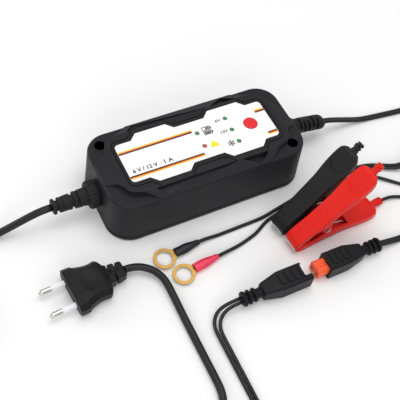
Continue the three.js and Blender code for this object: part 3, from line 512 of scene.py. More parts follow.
def tint(c, k):
    return tuple(min(1.0, v * k) for v in c[:3]) + (1.0,)


def noise(nt, scale, detail=3.0, rough=0.55, coords=None, stretch=None, distortion=0.0):
    n = nt.nodes.new("ShaderNodeTexNoise")
    n.inputs["Scale"].default_value = scale
    n.inputs["Detail"].default_value = detail
    n.inputs["Roughness"].default_value = rough
    n.inputs["Distortion"].default_value = distortion
    if coords is None:
        coords = nt.nodes.new("ShaderNodeTexCoord").outputs["Object"]
    if stretch:
        mp = nt.nodes.new("ShaderNodeMapping")
        mp.inputs["Scale"].default_value = stretch
        nt.links.new(coords, mp.inputs["Vector"])
        coords = mp.outputs["Vector"]
    nt.links.new(coords, n.inputs["Vector"])
    return n.outputs["Fac"]


def ramp(nt, fac, stops):
    r = nt.nodes.new("ShaderNodeValToRGB")
    e = r.color_ramp.elements
    while len(e) < len(stops):
        e.new(0.5)
    for el, (p, c) in zip(e, stops):
        el.position, el.color = p, c
    nt.links.new(fac, r.inputs["Fac"])
    return r.outputs["Color"]


def remap(nt, value, a, b, c, d):
    m = nt.nodes.new("ShaderNodeMapRange")
    m.inputs["From Min"].default_value, m.inputs["From Max"].default_value = a, b
    m.inputs["To Min"].default_value, m.inputs["To Max"].default_value = c, d
    nt.links.new(value, m.inputs["Value"])
    return m.outputs["Result"]


def mixed(nt, fac, a, b):
    m = nt.nodes.new("ShaderNodeMix")
    m.data_type = "RGBA"
    ins = [s for s in m.inputs if s.enabled]
    f, sa, sb = ins[0], ins[1], ins[2]
    for sock, v in ((f, fac), (sa, a), (sb, b)):
        if isinstance(v, (tuple, float, int)):
            sock.default_value = v
        else:
            nt.links.new(v, sock)
    return [s for s in m.outputs if s.enabled][0]


def maths(nt, op, a, b=None):
    m = nt.nodes.new("ShaderNodeMath")
    m.operation = op
    for k, v in enumerate((a, b)):
        if v is None:
            continue
        if isinstance(v, (float, int)):
            m.inputs[k].default_value = v
        else:
            nt.links.new(v, m.inputs[k])
    return m.outputs[0]


def edges_of(nt, radius=0.0005):
    """0 on flat ground, towards 1 along edges."""
    bev = nt.nodes.new("ShaderNodeBevel")
    bev.samples = 4
    bev.inputs["Radius"].default_value = radius
    geo = nt.nodes.new("ShaderNodeNewGeometry")
    dot = nt.nodes.new("ShaderNodeVectorMath")
    dot.operation = "DOT_PRODUCT"
    nt.links.new(bev.outputs[0], dot.inputs[0])
    nt.links.new(geo.outputs["Normal"], dot.inputs[1])
    return remap(nt, dot.outputs["Value"], 0.99, 0.80, 0.0, 1.0)


def bump(nt, bsdf, layers):
    """layers: (height socket, strength, distance in m)."""
    last = None
    for h, strength, dist in layers:
        b = nt.nodes.new("ShaderNodeBump")
        b.inputs["Strength"].default_value = strength
        b.inputs["Distance"].default_value = dist
        nt.links.new(h, b.inputs["Height"])
        if last is not None:
            nt.links.new(last, b.inputs["Normal"])
        last = b.outputs["Normal"]
    nt.links.new(last, bsdf.inputs["Normal"])


def plastic(name, colour, rough=0.5, vary=0.14, grain=1600.0, grain_depth=0.00002, wave=90.0, wave_depth=0.00003, wear=0.35, wear_colour=None, specular=0.5, coat=0.0, wear_radius=0.0005):
    m, nt, b = material(name)
    tc = nt.nodes.new("ShaderNodeTexCoord").outputs["Object"]
    big = noise(nt, 26.0, 4.0, 0.6, tc)
    fine = noise(nt, grain, 2.0, 0.6, tc)
    col = ramp(nt, big, [(0.28, tint(colour, 1 - vary)), (0.72, tint(colour, 1 + vary))])
    speck = ramp(nt, fine, [(0.42, tint(colour, 1 - 0.5 * vary)), (0.60, tint(colour, 1 + 0.6 * vary))])
    col = mixed(nt, 0.35, col, speck)
    if wear > 0:
        e = edges_of(nt, wear_radius)
        patch = noise(nt, 210.0, 4.0, 0.7, tc)
        amount = maths(nt, "MULTIPLY", e, remap(nt, patch, 0.40, 0.66, 0.05, 1.0))
        amount = maths(nt, "MULTIPLY", amount, wear)
        col = mixed(nt, amount, col, wear_colour or tint(colour, 2.4))
    nt.links.new(col, b.inputs["Base Color"])
    r = remap(nt, noise(nt, 60.0, 5.0, 0.65, tc), 0.3, 0.7, rough - 0.07, rough + 0.07)
    nt.links.new(r, b.inputs["Roughness"])
    b.inputs["Specular IOR Level"].default_value = specular
    if coat:
        b.inputs["Coat Weight"].default_value = coat
        b.inputs["Coat Roughness"].default_value = 0.12
    bump(nt, b, [(noise(nt, wave, 2.0, 0.5, tc), 0.35, wave_depth), (fine, 0.5, grain_depth)])
    return m


def metal(name, colour, rough=0.28, vary=0.12, stretch=(1, 1, 1), stain=None, scratch=900.0, depth=0.000006):
    m, nt, b = material(name)
    tc = nt.nodes.new("ShaderNodeTexCoord").outputs["Object"]
    big = noise(nt, 130.0, 4.0, 0.65, tc)
    col = ramp(nt, big, [(0.3, tint(colour, 1 - vary)), (0.7, tint(colour, 1 + 0.5 * vary))])
    if stain:
        patch = remap(nt, noise(nt, 340.0, 5.0, 0.7, tc), 0.5, 0.72, 0.0, 0.55)
        col = mixed(nt, patch, col, stain)
    nt.links.new(col, b.inputs["Base Color"])
    b.inputs["Metallic"].default_value = 1.0
    lines = noise(nt, scratch, 3.0, 0.6, tc, stretch=stretch)
    r = remap(nt, maths(nt, "ADD", maths(nt, "MULTIPLY", lines, 0.5), maths(nt, "MULTIPLY", big, 0.5)), 0.35, 0.65, rough - 0.09, rough + 0.12)
    nt.links.new(r, b.inputs["Roughness"])
    bump(nt, b, [(lines, 0.4, depth)])
    return m


M = {}
M["shell"] = plastic("charger_plastic", srgb(29, 29, 32), 0.50, 0.10, 1500.0, 0.000022, 70.0, 0.00003, 0.24, srgb(80, 80, 84), 0.21)
M["base"] = plastic("base_plastic", srgb(27, 27, 30), 0.52, 0.10, 1300.0, 0.000022, 70.0, 0.00003, 0.30, srgb(70, 70, 74), 0.3)
M["rubber"] = plastic("soft_black", srgb(24, 24, 26), 0.60, 0.12, 1100.0, 0.000025, 150.0, 0.00004, 0.22, srgb(58, 58, 60), 0.28)
M["plug"] = plastic("plug_plastic", srgb(17, 17, 19), 0.47, 0.10, 1400.0, 0.00002, 90.0, 0.00005, 0.20, srgb(66, 66, 68), 0.21)
M["connector"] = plastic("connector_plastic", srgb(16, 16, 19), 0.46, 0.10, 1300.0, 0.00002, 120.0, 0.00004, 0.21, srgb(64, 64, 70), 0.2)
M["cord"] = plastic("cord_sheath", srgb(21, 21, 23), 0.42, 0.10, 900.0, 0.000012, 240.0, 0.00004, 0.0, None, 0.35)
M["orange"] = plastic("orange_insert", srgb(238, 84, 30), 0.40, 0.07, 1200.0, 0.00001, 160.0, 0.00003, 0.25, srgb(252, 140, 92))
M["clampred"] = plastic("red_handle", srgb(216, 24, 12), 0.42, 0.07, 1000.0, 0.000012, 110.0, 0.00006, 0.30, srgb(240, 80, 62), 0.25)
M["clampblk"] = plastic("black_handle", srgb(17, 17, 19), 0.44, 0.10, 1000.0, 0.000014, 110.0, 0.00006, 0.30, srgb(58, 58, 60), 0.28)
M["crimson"] = plastic("crimson_sleeve", srgb(232, 52, 88), 0.42, 0.08, 900.0, 0.000015, 260.0, 0.00012, 0.0, None)
M["blksleeve"] = plastic("black_sleeve", srgb(26, 27, 32), 0.44, 0.10, 900.0, 0.000015, 260.0, 0.00012, 0.0, None, 0.35)
M["sleeve"] = plastic("pin_sleeve", srgb(236, 237, 239), 0.40, 0.03, 1200.0, 0.000008, 200.0, 0.00002, 0.0, None)
M["button"] = plastic("red_button", srgb(222, 20, 30), 0.33, 0.06, 900.0, 0.000010, 160.0, 0.00002, 0.35, srgb(240, 84, 88))
M["brass"] = metal("gold_plate", srgb(190, 152, 84), 0.36, 0.10, stain=srgb(168, 126, 62))
M["copper"] = metal("copper_plate", srgb(150, 104, 74), 0.38, 0.18, stain=srgb(84, 56, 42))
M["steel"] = metal("spring_steel", srgb(196, 197, 200), 0.26, 0.10, stain=srgb(140, 140, 142))
M["pin"] = metal("pin_nickel", srgb(206, 203, 198), 0.18, 0.08, (1, 30, 30), stain=srgb(150, 146, 140))
M["zinc"] = metal("screw_zinc", srgb(170, 172, 176), 0.34, 0.14, stain=srgb(120, 122, 126))
M["alu"] = metal("heat_sink_metal", srgb(196, 199, 202), 0.36, 0.08, (1, 40, 1))
M["pcb"] = plastic("board_resin", srgb(34, 104, 58), 0.42, 0.16, 700.0, 0.00002, 200.0, 0.00003, 0.3, srgb(150, 160, 110))
M["ferrite"] = plastic("ferrite", srgb(60, 54, 50), 0.62, 0.18, 900.0, 0.00004, 120.0, 0.00005, 0.4, srgb(110, 100, 92))
M["cap"] = plastic("capacitor_sleeve", srgb(38, 54, 82), 0.36, 0.10, 800.0, 0.00001, 90.0, 0.00003, 0.2, srgb(90, 100, 130))
# ------------------------------------------------------------------ housing
GAP = 0.3
HL, HW, HR = 80.0, 36.9, 19.0
TOPL, TOPW, TOPR = 77.9, 34.8, 16.8
BASE_T, PAD_Z, DECK_Z, LABEL_Z = 4.0, 38.9, 43.6, 43.95
HOLE_X, HOLE_Y = 66.7, 24.9
LL, LW, LD = 59.4, 17.1, 22.3
LOBES = [[-46.2, -40.8, -17.0, -11.7], [12.5, 17.8, 42.3, 47.3]]
BTN = (43.2, 0.0, 5.2)
LEDS = {"led_charge": (1.7, 5.9), "led_fault": (1.7, -6.6), "led_6v": (27.4, 11.1), "led_12v": (27.4, -0.2), "led_winter": (27.4, -11.7)}


def label_outline(L=LL, W=LW, D=LD, lobes=LOBES, r=3.0, n=8):
    a, b = lobes
    right = [(L - r + r * math.sin(math.radians(90 * k / n)), -W + r - r * math.cos(math.radians(90 * k / n))) for k in range(n + 1)]
    right += [(L - r + r * math.cos(math.radians(90 * k / n)), W - r + r * math.sin(math.radians(90 * k / n))) for k in range(n + 1)]
    back = [(b[3], W), (b[2], D), (b[1], D), (b[0], W), (a[3], W), (a[2], D), (a[1], D), (a[0], W)]
    left = [(-x, -y) for x, y in right]
    front = [(x, -y) for x, y in back][::-1]
    return [*right, *back, *left, *front]


outline = label_outline()
# the raised deck follows the label's corners and runs out to the rim between the corner pads
quarter = [(76.6, -9.6), (72.4, -11.4), (68.4, -13.6), (66.4, -17.4), (64.6, -21.6), (61.4, -24.4), (57.4, -25.6), (53.6, -26.8), (43.6, -34.5)]
qr = quarter[::-1]
deck_plan = [*qr, *[(x, -y) for x, y in quarter], *[(-x, -y) for x, y in qr], *[(-x, y) for x, y in quarter]]


def mount_cutters(z0=9.0):
    out = []
    for s in (-1, 1):
        out.append(cyl_z(s * HOLE_X, -s * HOLE_Y, 3.85, z0, 50, 40))
    return together(*out)


def make_housing():
    rows = [(BASE_T + GAP, rrect(HL - 1.0, HW - 1.0, HR - 1.0, 16)), (BASE_T + GAP + 0.45, rrect(HL - 0.55, HW - 0.55, HR - 0.55, 16)), (BASE_T + GAP + 0.75, rrect(HL - 0.15, HW - 0.15, HR - 0.15, 16)), (PAD_Z - 1.6, rrect(TOPL + 0.1, TOPW + 0.1, TOPR + 0.1, 16)),
            (PAD_Z - 1.15, rrect(TOPL - 0.12, TOPW - 0.12, TOPR - 0.12, 16)), (PAD_Z - 0.5, rrect(TOPL - 0.55, TOPW - 0.55, TOPR - 0.55, 16)),
            (PAD_Z - 0.12, rrect(TOPL - 1.05, TOPW - 1.05, TOPR - 1.05, 16)), (PAD_Z, rrect(TOPL - 1.5, TOPW - 1.5, TOPR - 1.5, 16))]
    body = loft_z(rows)
    roof_y = loft([[(x, y, z) for y, z in ((-34.8, 30), (34.8, 30), (34.8, PAD_Z + 0.1), (25.2, DECK_Z), (-25.2, DECK_Z), (-34.8, PAD_Z + 0.1))] for x in (-90, 90)])
    roof_x = prism_y([(-77.5, 30), (77.5, 30), (77.5, PAD_Z + 0.1), (65.5, DECK_Z), (-65.5, DECK_Z), (-77.5, PAD_Z + 0.1)], -60, 60)
    deck = meet(prism(rounded(deck_plan, 1.6, 4), 36.5, 45), roof_y, roof_x)
    body = join(body, deck)
    # sunk facets in the slopes, each cut on its own
    for s in (-1, 1):
        for tri in ([(-45.4, 26.6, 39.4), (-38.8, 32.6, 38.9), (17.0, 26.6, 41.3)], [(22.8, 26.7, 39.8), (35.3, 33.2, 37.5), (44.2, 27.2, 37.4)]):
            body = cut(body, loft([[(x, s * y, z) for x, y, z in tri], [(x, s * y, 46) for x, y, z in tri]]))
    body = join(body, cyl_x(0, 20, 8.2, -85.0, -76, 40), lathe_x([(0, 74), (10.4, 74), (10.4, 80.5), (10.2, 81.2), (8.8, 84.7), (8.5, 85.0), (0, 85.0)], 0, 20, 40))
    t = 2.3
    body = cut(body, loft_z([(0, rrect(HL - t, HW - t, HR - t, 16)), (PAD_Z - t, rrect(TOPL - t, TOPW - t, TOPR - t, 16))]))
    body = cut(body, prism(offset(outline, 1.2), 30, DECK_Z - 2.8))
    body = join(body, together(*[cyl_z(s * HOLE_X, -s * HOLE_Y, 5.9, BASE_T + GAP, PAD_Z - 0.5, 32) for s in (-1, 1)], *[cyl_z(s * HOLE_X, s * HOLE_Y, 4.2, BASE_T + GAP, PAD_Z - 1, 24) for s in (-1, 1)]))
    body = cut(body, mount_cutters(), together(*[cyl_z(s * HOLE_X, -s * HOLE_Y, 2.3, 0, 20, 24) for s in (-1, 1)], *[cyl_z(s * HOLE_X, s * HOLE_Y, 1.8, 0, 22, 16) for s in (-1, 1)]))
    body = join(body, together(*[box(x - 2.5, x + 2.5, y - 2, y + 2, 24.3, 38) for x, y in ((-52, 26), (52, -26), (-52, -26), (52, 26))]))
    # recess of the label, and the groove that frames it, which stops at the label's lobes
    body = cut(body, prism(offset(outline, 0.75), DECK_Z - 0.9, 50))
    a, b = LOBES
    wide = label_outline(LL, LW + 1.1, 32.0, [[a[0], a[0] + 14.4, a[3] - 14.4, a[3]], [b[0], b[0] + 14.6, b[3] - 12.4, b[3]]])
    groove = cut(prism(offset(wide, 2.75), DECK_Z - 0.9, 50), prism(offset(wide, 1.95), 30, 51))
    body = cut(body, groove)
    holes = [cyl_z(BTN[0], BTN[1], BTN[2] + GAP, 30, 50, 48)] + [cyl_z(x, y, 1.8, 30, 50, 24) for x, y in LEDS.values()]
    body = cut(body, together(*holes))
    body = cut(body, together(cyl_x(0, 20, 5.5, -95, -70, 32), cyl_x(0, 20, 5.4, 70, 87, 32)))
    return bevelled(body, 0.32, 3, 28, clean=False)


piece(make_housing(), "housing", M["shell"], nodes="housing_shell")


def make_base():
    b = loft_z([(0, rrect(HL - 1.2, HW - 1.2, HR - 1.2, 16)), (0.25, rrect(HL - 0.55, HW - 0.55, HR - 0.55, 16)), (0.9, rrect(HL, HW, HR, 16)), (BASE_T - 0.5, rrect(HL, HW, HR, 16)),
                (BASE_T - 0.2, rrect(HL - 0.25, HW - 0.25, HR - 0.25, 16)), (BASE_T - 0.05, rrect(HL - 0.9, HW - 0.9, HR - 0.9, 16)), (BASE_T, rrect(HL - 1.5, HW - 1.5, HR - 1.5, 16))])
    # shallow panel moulded into the underside
    b = cut(b, prism(rounded([(-56, -24), (56, -24), (56, 24), (-56, 24)], 6, 8), -1, 0.5))
    b = cut(b, together(*[cyl_z(s * HOLE_X, -s * HOLE_Y, 2.3, -1, 10, 24) for s in (-1, 1)], *[cyl_z(s * HOLE_X, s * HOLE_Y, 1.9, -1, 10, 24) for s in (-1, 1)]))
    b = cut(b, together(*[cyl_z(s * HOLE_X, s * HOLE_Y, 3.3, -1, 2.3, 32) for s in (-1, 1)]))
    b = join(b, together(*[box(x - 2.5, x + 2.5, y - 2, y + 2, 3, 22.1) for x, y in ((-52, 26), (52, -26), (-52, -26), (52, 26))]))
    return bevelled(b, 0.2, 2, 28)


piece(make_base(), "base", M["base"], nodes="base_plate")

# ------------------------------------------------------------------ label film and its print
film, film_nt, film_b = material("label_film")
tc = film_nt.nodes.new("ShaderNodeTexCoord").outputs["Object"]
col = ramp(film_nt, noise(film_nt, 22.0, 3.0, 0.5, tc), [(0.3, srgb(243, 243, 241)), (0.7, srgb(250, 250, 249))])
film_nt.links.new(col, film_b.inputs["Base Color"])
film_nt.links.new(remap(film_nt, noise(film_nt, 90.0, 4.0, 0.6, tc), 0.3, 0.7, 0.28, 0.40), film_b.inputs["Roughness"])
film_b.inputs["Coat Weight"].default_value = 0.15
bump(film_nt, film_b, [(noise(film_nt, 60.0, 2.0, 0.5, tc), 0.25, 0.00002), (noise(film_nt, 1800.0, 2.0, 0.5, tc), 0.3, 0.000004)])


def ink(name, colour, vary=0.08):
    m, nt, b = material(name)
    tc = nt.nodes.new("ShaderNodeTexCoord").outputs["Object"]
    nt.links.new(ramp(nt, noise(nt, 900.0, 3.0, 0.6, tc), [(0.3, tint(colour, 1 - vary)), (0.7, tint(colour, 1 + vary))]), b.inputs["Base Color"])
    nt.links.new(remap(nt, noise(nt, 300.0, 3.0, 0.6, tc), 0.3, 0.7, 0.34, 0.46), b.inputs["Roughness"])
    bump(nt, b, [(noise(nt, 2600.0, 2.0, 0.5, tc), 0.25, 0.000004)])
    return m


M["ink_black"] = ink("ink_black", srgb(28, 26, 27), 0.2)
M["ink_grey"] = ink("ink_grey", srgb(52, 52, 54))
M["ink_red"] = ink("ink_red", srgb(206, 34, 22))
M["ink_yellow"] = ink("ink_yellow", srgb(255, 196, 32))
M["ink_sign"] = ink("ink_sign", srgb(255, 224, 18))


def make_label():
    g = prism(offset(outline, 0.0), LABEL_Z - 0.6, LABEL_Z)
    g = cut(g, together(cyl_z(BTN[0], BTN[1], BTN[2] + GAP, 40, 50, 48), *[cyl_z(x, y, 1.8, 40, 50, 24) for x, y in LEDS.values()]))
    return g


piece(make_label(), "label", film, nodes="label_overlay", weighted=False, smooth=25)
INK_Z0, INK_Z1 = LABEL_Z - 0.02, LABEL_Z + 0.022


def inlay(name, polys, mat, z1=INK_Z1):
    ob = together(*[prism(p, INK_Z0, z1) for p in polys])
    return piece(ob, name, mat, weighted=False, smooth=30)


def bar(x0, x1, y0, y1):
    return [(x0, y0), (x1, y0), (x1, y1), (x0, y1)]


def follow_end(y0, y1, x_from, side):
    """A stripe that runs out to the label's rounded end."""
    def edge(y):
        yy = abs(y) - (LW - 3.0)
        return LL - 0.15 - (0 if yy <= 0 else 3.0 - math.sqrt(max(0.0, 9.0 - yy * yy)))
    ys = [y0 + (y1 - y0) * k / 5 for k in range(6)]
    return [(side * x_from, y0)] + [(side * edge(y), y) for y in ys] + [(side * x_from, y1)]


def ccw(p):
    a = sum(p[i - 1][0] * p[i][1] - p[i][0] * p[i - 1][1] for i in range(len(p)))
    return p if a > 0 else p[::-1]


# stripes: (start x, side it runs out to, centre y, +1 with yellow at the back)
STRIPES = [(1.5, -1, 8.95, 1), (1.4, -1, -13.35, -1), (51.5, 1, 8.95, 1), (51.4, 1, -13.2, -1)]
for k, (x, side, y, up) in enumerate(STRIPES):
    rows = {"black": (-1.45, -0.42), "red": (-0.42, 0.36), "yellow": (0.36, 1.42)}
    for colour, (a, b) in rows.items():
        y0, y1 = sorted((y + up * a, y + up * b))
        poly = ccw(follow_end(y0, y1, x, side) if side > 0 else [(-x0, y_) for x0, y_ in [(x, y0)]] + [(px, py) for px, py in follow_end(y0, y1, -x, -1)][1:-1] + [(-x, y1)])
        inlay(f"stripe_{k}_{colour}", [poly], M["ink_" + colour])


def lettering(name, text, x0, x1, y0, y1, mat, bold=0.0):
    cu = bpy.data.curves.new(name, "FONT")
    cu.body = text
    cu.size = 1.0
    cu.extrude = 0.02
    cu.offset = bold
    cu.resolution_u = 6
    ob = bpy.data.objects.new(name, cu)
    bpy.context.scene.collection.objects.link(ob)
    dg = bpy.context.evaluated_depsgraph_get()
    me = bpy.data.meshes.new_from_object(ob.evaluated_get(dg), depsgraph=dg)
    bpy.data.objects.remove(ob, do_unlink=True)
    v = np.array([tuple(p.co) for p in me.vertices])
    lo, hi = v.min(0), v.max(0)
    sx, sy = (x1 - x0) / (hi[0] - lo[0]), (y1 - y0) / (hi[1] - lo[1])
    sz = (INK_Z1 - INK_Z0) / (hi[2] - lo[2])
    me.transform(Matrix.Translation((x0 - lo[0] * sx, y0 - lo[1] * sy, INK_Z0 - lo[2] * sz)) @ Matrix.Diagonal((sx, sy, sz, 1)))
    ob = bpy.data.objects.new(name, me)
    bpy.context.scene.collection.objects.link(ob)
    return piece(ob, name, mat, weighted=False, smooth=30)


lettering("print_volts", "6 V / 12 V", -55.6, -36.6, -10.2, -6.7, M["ink_grey"], 0.034)
lettering("print_amps", "1 A", -31.4, -24.6, -10.2, -6.7, M["ink_grey"], 0.034)
lettering("print_6v", "6V", 19.0, 23.4, 9.9, 12.4, M["ink_grey"], 0.034)
lettering("print_12v", "12V", 18.2, 24.2, -1.2, 1.3, M["ink_grey"], 0.034)

# battery symbols: one half full, one full
half = [bar(6.9, 12.4, 8.9, 9.5), bar(6.9, 12.4, 5.9, 6.5), bar(6.3, 6.9, 5.9, 9.5), bar(12.4, 13.0, 5.9, 9.5), bar(13.0, 13.8, 6.9, 8.5), bar(9.1, 10.4, 6.7, 8.7), bar(10.7, 12.0, 6.7, 8.7)]
full = [bar(6.9, 12.4, 4.9, 5.5), bar(6.9, 12.4, 1.9, 2.5), bar(6.3, 6.9, 1.9, 5.5), bar(12.4, 13.0, 1.9, 5.5), bar(13.0, 13.8, 2.9, 4.5)] + [bar(7.25 + 1.64 * k, 8.65 + 1.64 * k, 2.7, 4.7) for k in range(3)]
inlay("print_battery_half", half, M["ink_black"])
inlay("print_battery_full", full, M["ink_black"])
inlay("print_sign", [rounded([(5.3, -9.8), (13.1, -9.8), (9.2, -3.6)], 0.6, 4)], M["ink_sign"])
flake = []
for k in range(6):
    a = math.radians(60 * k + 30)
    c, s = math.cos(a), math.sin(a)
    rot = lambda pts: [(21.3 + x * c - y * s, -11.5 + x * s + y * c) for x, y in pts]
    flake.append(rot([(0.1, -0.3), (2.8, -0.3), (2.8, 0.3), (0.1, 0.3)]))
    for d in (-1, 1):
        u = (math.cos(math.radians(48 * d)), math.sin(math.radians(48 * d)))
        n_ = (-u[1] * 0.2, u[0] * 0.2)
        flake.append(rot(ccw([(1.7 - n_[0], d * 0.2 - n_[1]), (1.7 + 0.9 * u[0] - n_[0], d * 0.2 + 0.9 * u[1] - n_[1]), (1.7 + 0.9 * u[0] + n_[0], d * 0.2 + 0.9 * u[1] + n_[1]), (1.7 + n_[0], d * 0.2 + n_[1])])))
inlay("print_snowflake", flake, M["ink_black"])

# ------------------------------------------------------------------ button and indicator windows
r = BTN[2]
button = lathe([(0, 39.3), (6.0, 39.3), (6.2, 39.5), (6.2, 40.3), (6.0, 40.5), (r, 40.5), (r, 44.05), (r - 0.09, 44.3), (r - 0.32, 44.5), (r - 0.7, 44.6), (3.9, 44.68), (2.2, 44.62), (0, 44.58)], 64)
piece(button, "button", M["button"], body="mode_button", nodes="mode_button", matrix=Matrix.Translation((BTN[0], BTN[1], 0)), smooth=50)


def lens(name, colour, glow):
    m, nt, b = material(name)
    tc = nt.nodes.new("ShaderNodeTexCoord").outputs["Object"]
    fac = noise(nt, 420.0, 3.0, 0.6, tc)
    nt.links.new(ramp(nt, fac, [(0.3, tint(colour, 0.82)), (0.7, tint(colour, 1.15))]), b.inputs["Base Color"])
    nt.links.new(remap(nt, fac, 0.3, 0.7, 0.14, 0.24), b.inputs["Roughness"])
    b.inputs["Coat Weight"].default_value = 0.4
    b.inputs["Subsurface Weight"].default_value = 0.15
    b.inputs["Subsurface Scale"].default_value = 0.001
    bump(nt, b, [(noise(nt, 800.0, 2.0, 0.5, tc), 0.2, 0.00001)])
    return m


M["green"] = lens("green_window", srgb(16, 134, 64), None)
M["red_window"] = lens("red_window", srgb(206, 34, 66), None)
for name, (x, y) in LEDS.items():
    prof = [(0, 24.3), (1.5, 24.3), (1.5, 43.75)] + [(1.5 * math.cos(math.radians(a)), 43.75 + 0.55 * math.sin(math.radians(a))) for a in (15, 30, 45, 60, 75)] + [(0, 44.3)]
    piece(lathe(prof, 32), name.replace("led", "window"), M["red_window" if name == "led_fault" else "green"], nodes=name, matrix=Matrix.Translation((x, y, 0)), smooth=50)

# screws in the underside, with cross recesses
for s in (-1, 1):
    side = "left" if s < 0 else "right"
    g = lathe([(0, 0.3), (1.9, 0.3), (2.6, 0.55), (2.9, 1.1), (2.9, 1.8), (2.7, 2.0), (1.5, 2.0), (1.5, 12.5), (0.6, 14.6), (0, 15)], 32)
    cross = join(loft_z([(0.0, [(-1.9, -0.42), (1.9, -0.42), (1.9, 0.42), (-1.9, 0.42)]), (1.5, [(-0.5, -0.3), (0.5, -0.3), (0.5, 0.3), (-0.5, 0.3)])]),
                 loft_z([(0.0, [(-0.42, -1.9), (0.42, -1.9), (0.42, 1.9), (-0.42, 1.9)]), (1.5, [(-0.3, -0.5), (0.3, -0.5), (0.3, 0.5), (-0.3, 0.5)])]))
    g = cut(g, cross)
    piece(g, f"screw_{side}", M["zinc"], nodes=f"base_screw_{side}", matrix=Matrix.Translation((s * HOLE_X, s * HOLE_Y, 0)), smooth=35)
# ------------------------------------------------------------------ gland nut and bend reliefs
def make_nut():
    n = 24
    def ring(x, s, deep=0.55):
        pts = []
        for k in range(n):
            for f, r in ((0.0, 10.5), (0.34, 10.5), (0.52, 10.5 - deep), (0.82, 10.5 - deep)):
                a = 2 * math.pi * (k + f) / n
                pts.append((x, r * s * math.cos(a), 20 + r * s * math.sin(a)))
        return pts
    nut = loft([ring(-86.9, 0.905, 0.0), ring(-86.7, 0.935, 0.05), ring(-86.1, 0.965, 0.3), ring(-85.5, 1.0), ring(-81.0, 1.0), ring(-80.3, 0.985), ring(-79.9, 0.95, 0.3)])
    nut = cut(nut, cyl_x(0, 20, 8.5, -85.3, -70, 48), cyl_x(0, 20, 7.3, -95, -80, 48))
    return bevelled(nut, 0.16, 2, 30)


nut = piece(make_nut(), "gland_nut_moulded", M["rubber"], nodes="gland_nut")


def make_relief():
    prof = [(0, -113.0), (4.9, -113.0), (5.5, -112.8), (5.8, -112.4), (5.85, -111.0), (5.6, -110.75), (3.9, -110.7), (3.9, -108.6), (5.4, -108.5), (5.6, -108.1), (5.95, -99.7), (5.8, -99.3), (4.6, -99.2), (4.6, -97.2), (6.1, -97.1), (6.3, -96.7),
            (6.6, -91.5), (6.85, -86.2), (6.9, -85.4), (6.8, -85.1), (5.2, -85.0), (5.2, -74.2), (5.0, -74), (0, -74)]
    g = lathe_x(prof, 0, 20, 48)
    # slots that stop short of each other, so that the relief bends evenly
    slots = []
    for x0, x1, top in ((-106.6, -105.0, True), (-103.6, -102.0, False), (-95.0, -93.4, True), (-92.0, -90.4, False)):
        ring = cut(cyl_x(0, 20, 9, x0, x1, 40), cyl_x(0, 20, 4.55, x0 - 1, x1 + 1, 32))
        slots.append(meet(ring, box(x0 - 1, x1 + 1, -9, 9, 21.6 if top else 8, 32 if top else 18.4)))
    g = cut(g, together(*slots))
    return bevelled(g, 0.18, 2, 32)


relief = piece(make_relief(), "mains_relief", M["rubber"], nodes="mains_bend_relief")


def make_dc_relief():
    sec = lambda w, h, z: rrect(w, h, min(w, h) * 0.92, 8, 0, z)
    rows = [(70.5, 4.9, 4.9, 20), (85.25, 4.9, 4.9, 20), (85.3, 6.35, 6.35, 20), (85.5, 6.5, 6.5, 20), (88.5, 6.25, 6.25, 19.9), (93, 6.1, 6.1, 19.6), (96.5, 6.05, 6.05, 19.0), (100, 6.0, 6.0, 18.4), (104, 6.0, 6.0, 17.55), (108, 6.0, 6.0, 16.7), (110.6, 5.95, 5.9, 16.05),
            (112.2, 5.75, 5.6, 15.6), (113.6, 5.2, 4.8, 15.3), (114.8, 4.4, 3.7, 15.05), (115.7, 3.6, 2.6, 14.8)]
    r = loft_x([(x, sec(w, h, z)) for x, w, h, z in rows])
    slots = []
    for x0, x1, back, z in ((89.6, 91.2, True, 19.7), (93.4, 95.0, False, 19.2), (97.4, 99.2, False, 18.8), (101.6, 103.4, True, 17.9), (105.8, 107.6, False, 17.0)):
        ring = cut(cyl_x(0, z, 9, x0, x1, 40), cyl_x(0, z, 4.4, x0 - 1, x1 + 1, 32))
        slots.append(meet(ring, box(x0 - 1, x1 + 1, 0.8 if back else -9, 9 if back else -0.8, 0, 40)))
        ring = cut(cyl_x(0, z, 9, x0, x1, 40), cyl_x(0, z, 4.4, x0 - 1, x1 + 1, 32))
        slots.append(meet(ring, box(x0 - 1, x1 + 1, -9, 9, z + 1.5 if back else 0, 40 if back else z - 1.5)))
    r = cut(r, *slots)
    return bevelled(r, 0.16, 2, 32)


dc_relief = piece(make_dc_relief(), "output_relief", M["rubber"], nodes="dc_bend_relief")

# ------------------------------------------------------------------ flat two-pin plug
PLUG = Matrix.Translation((PLUG_TAIL[0] - 40 * math.cos(PLUG_HEADING), PLUG_TAIL[1] - 40 * math.sin(PLUG_HEADING), 6.9)) @ Matrix.Rotation(PLUG_HEADING, 4, "Z")


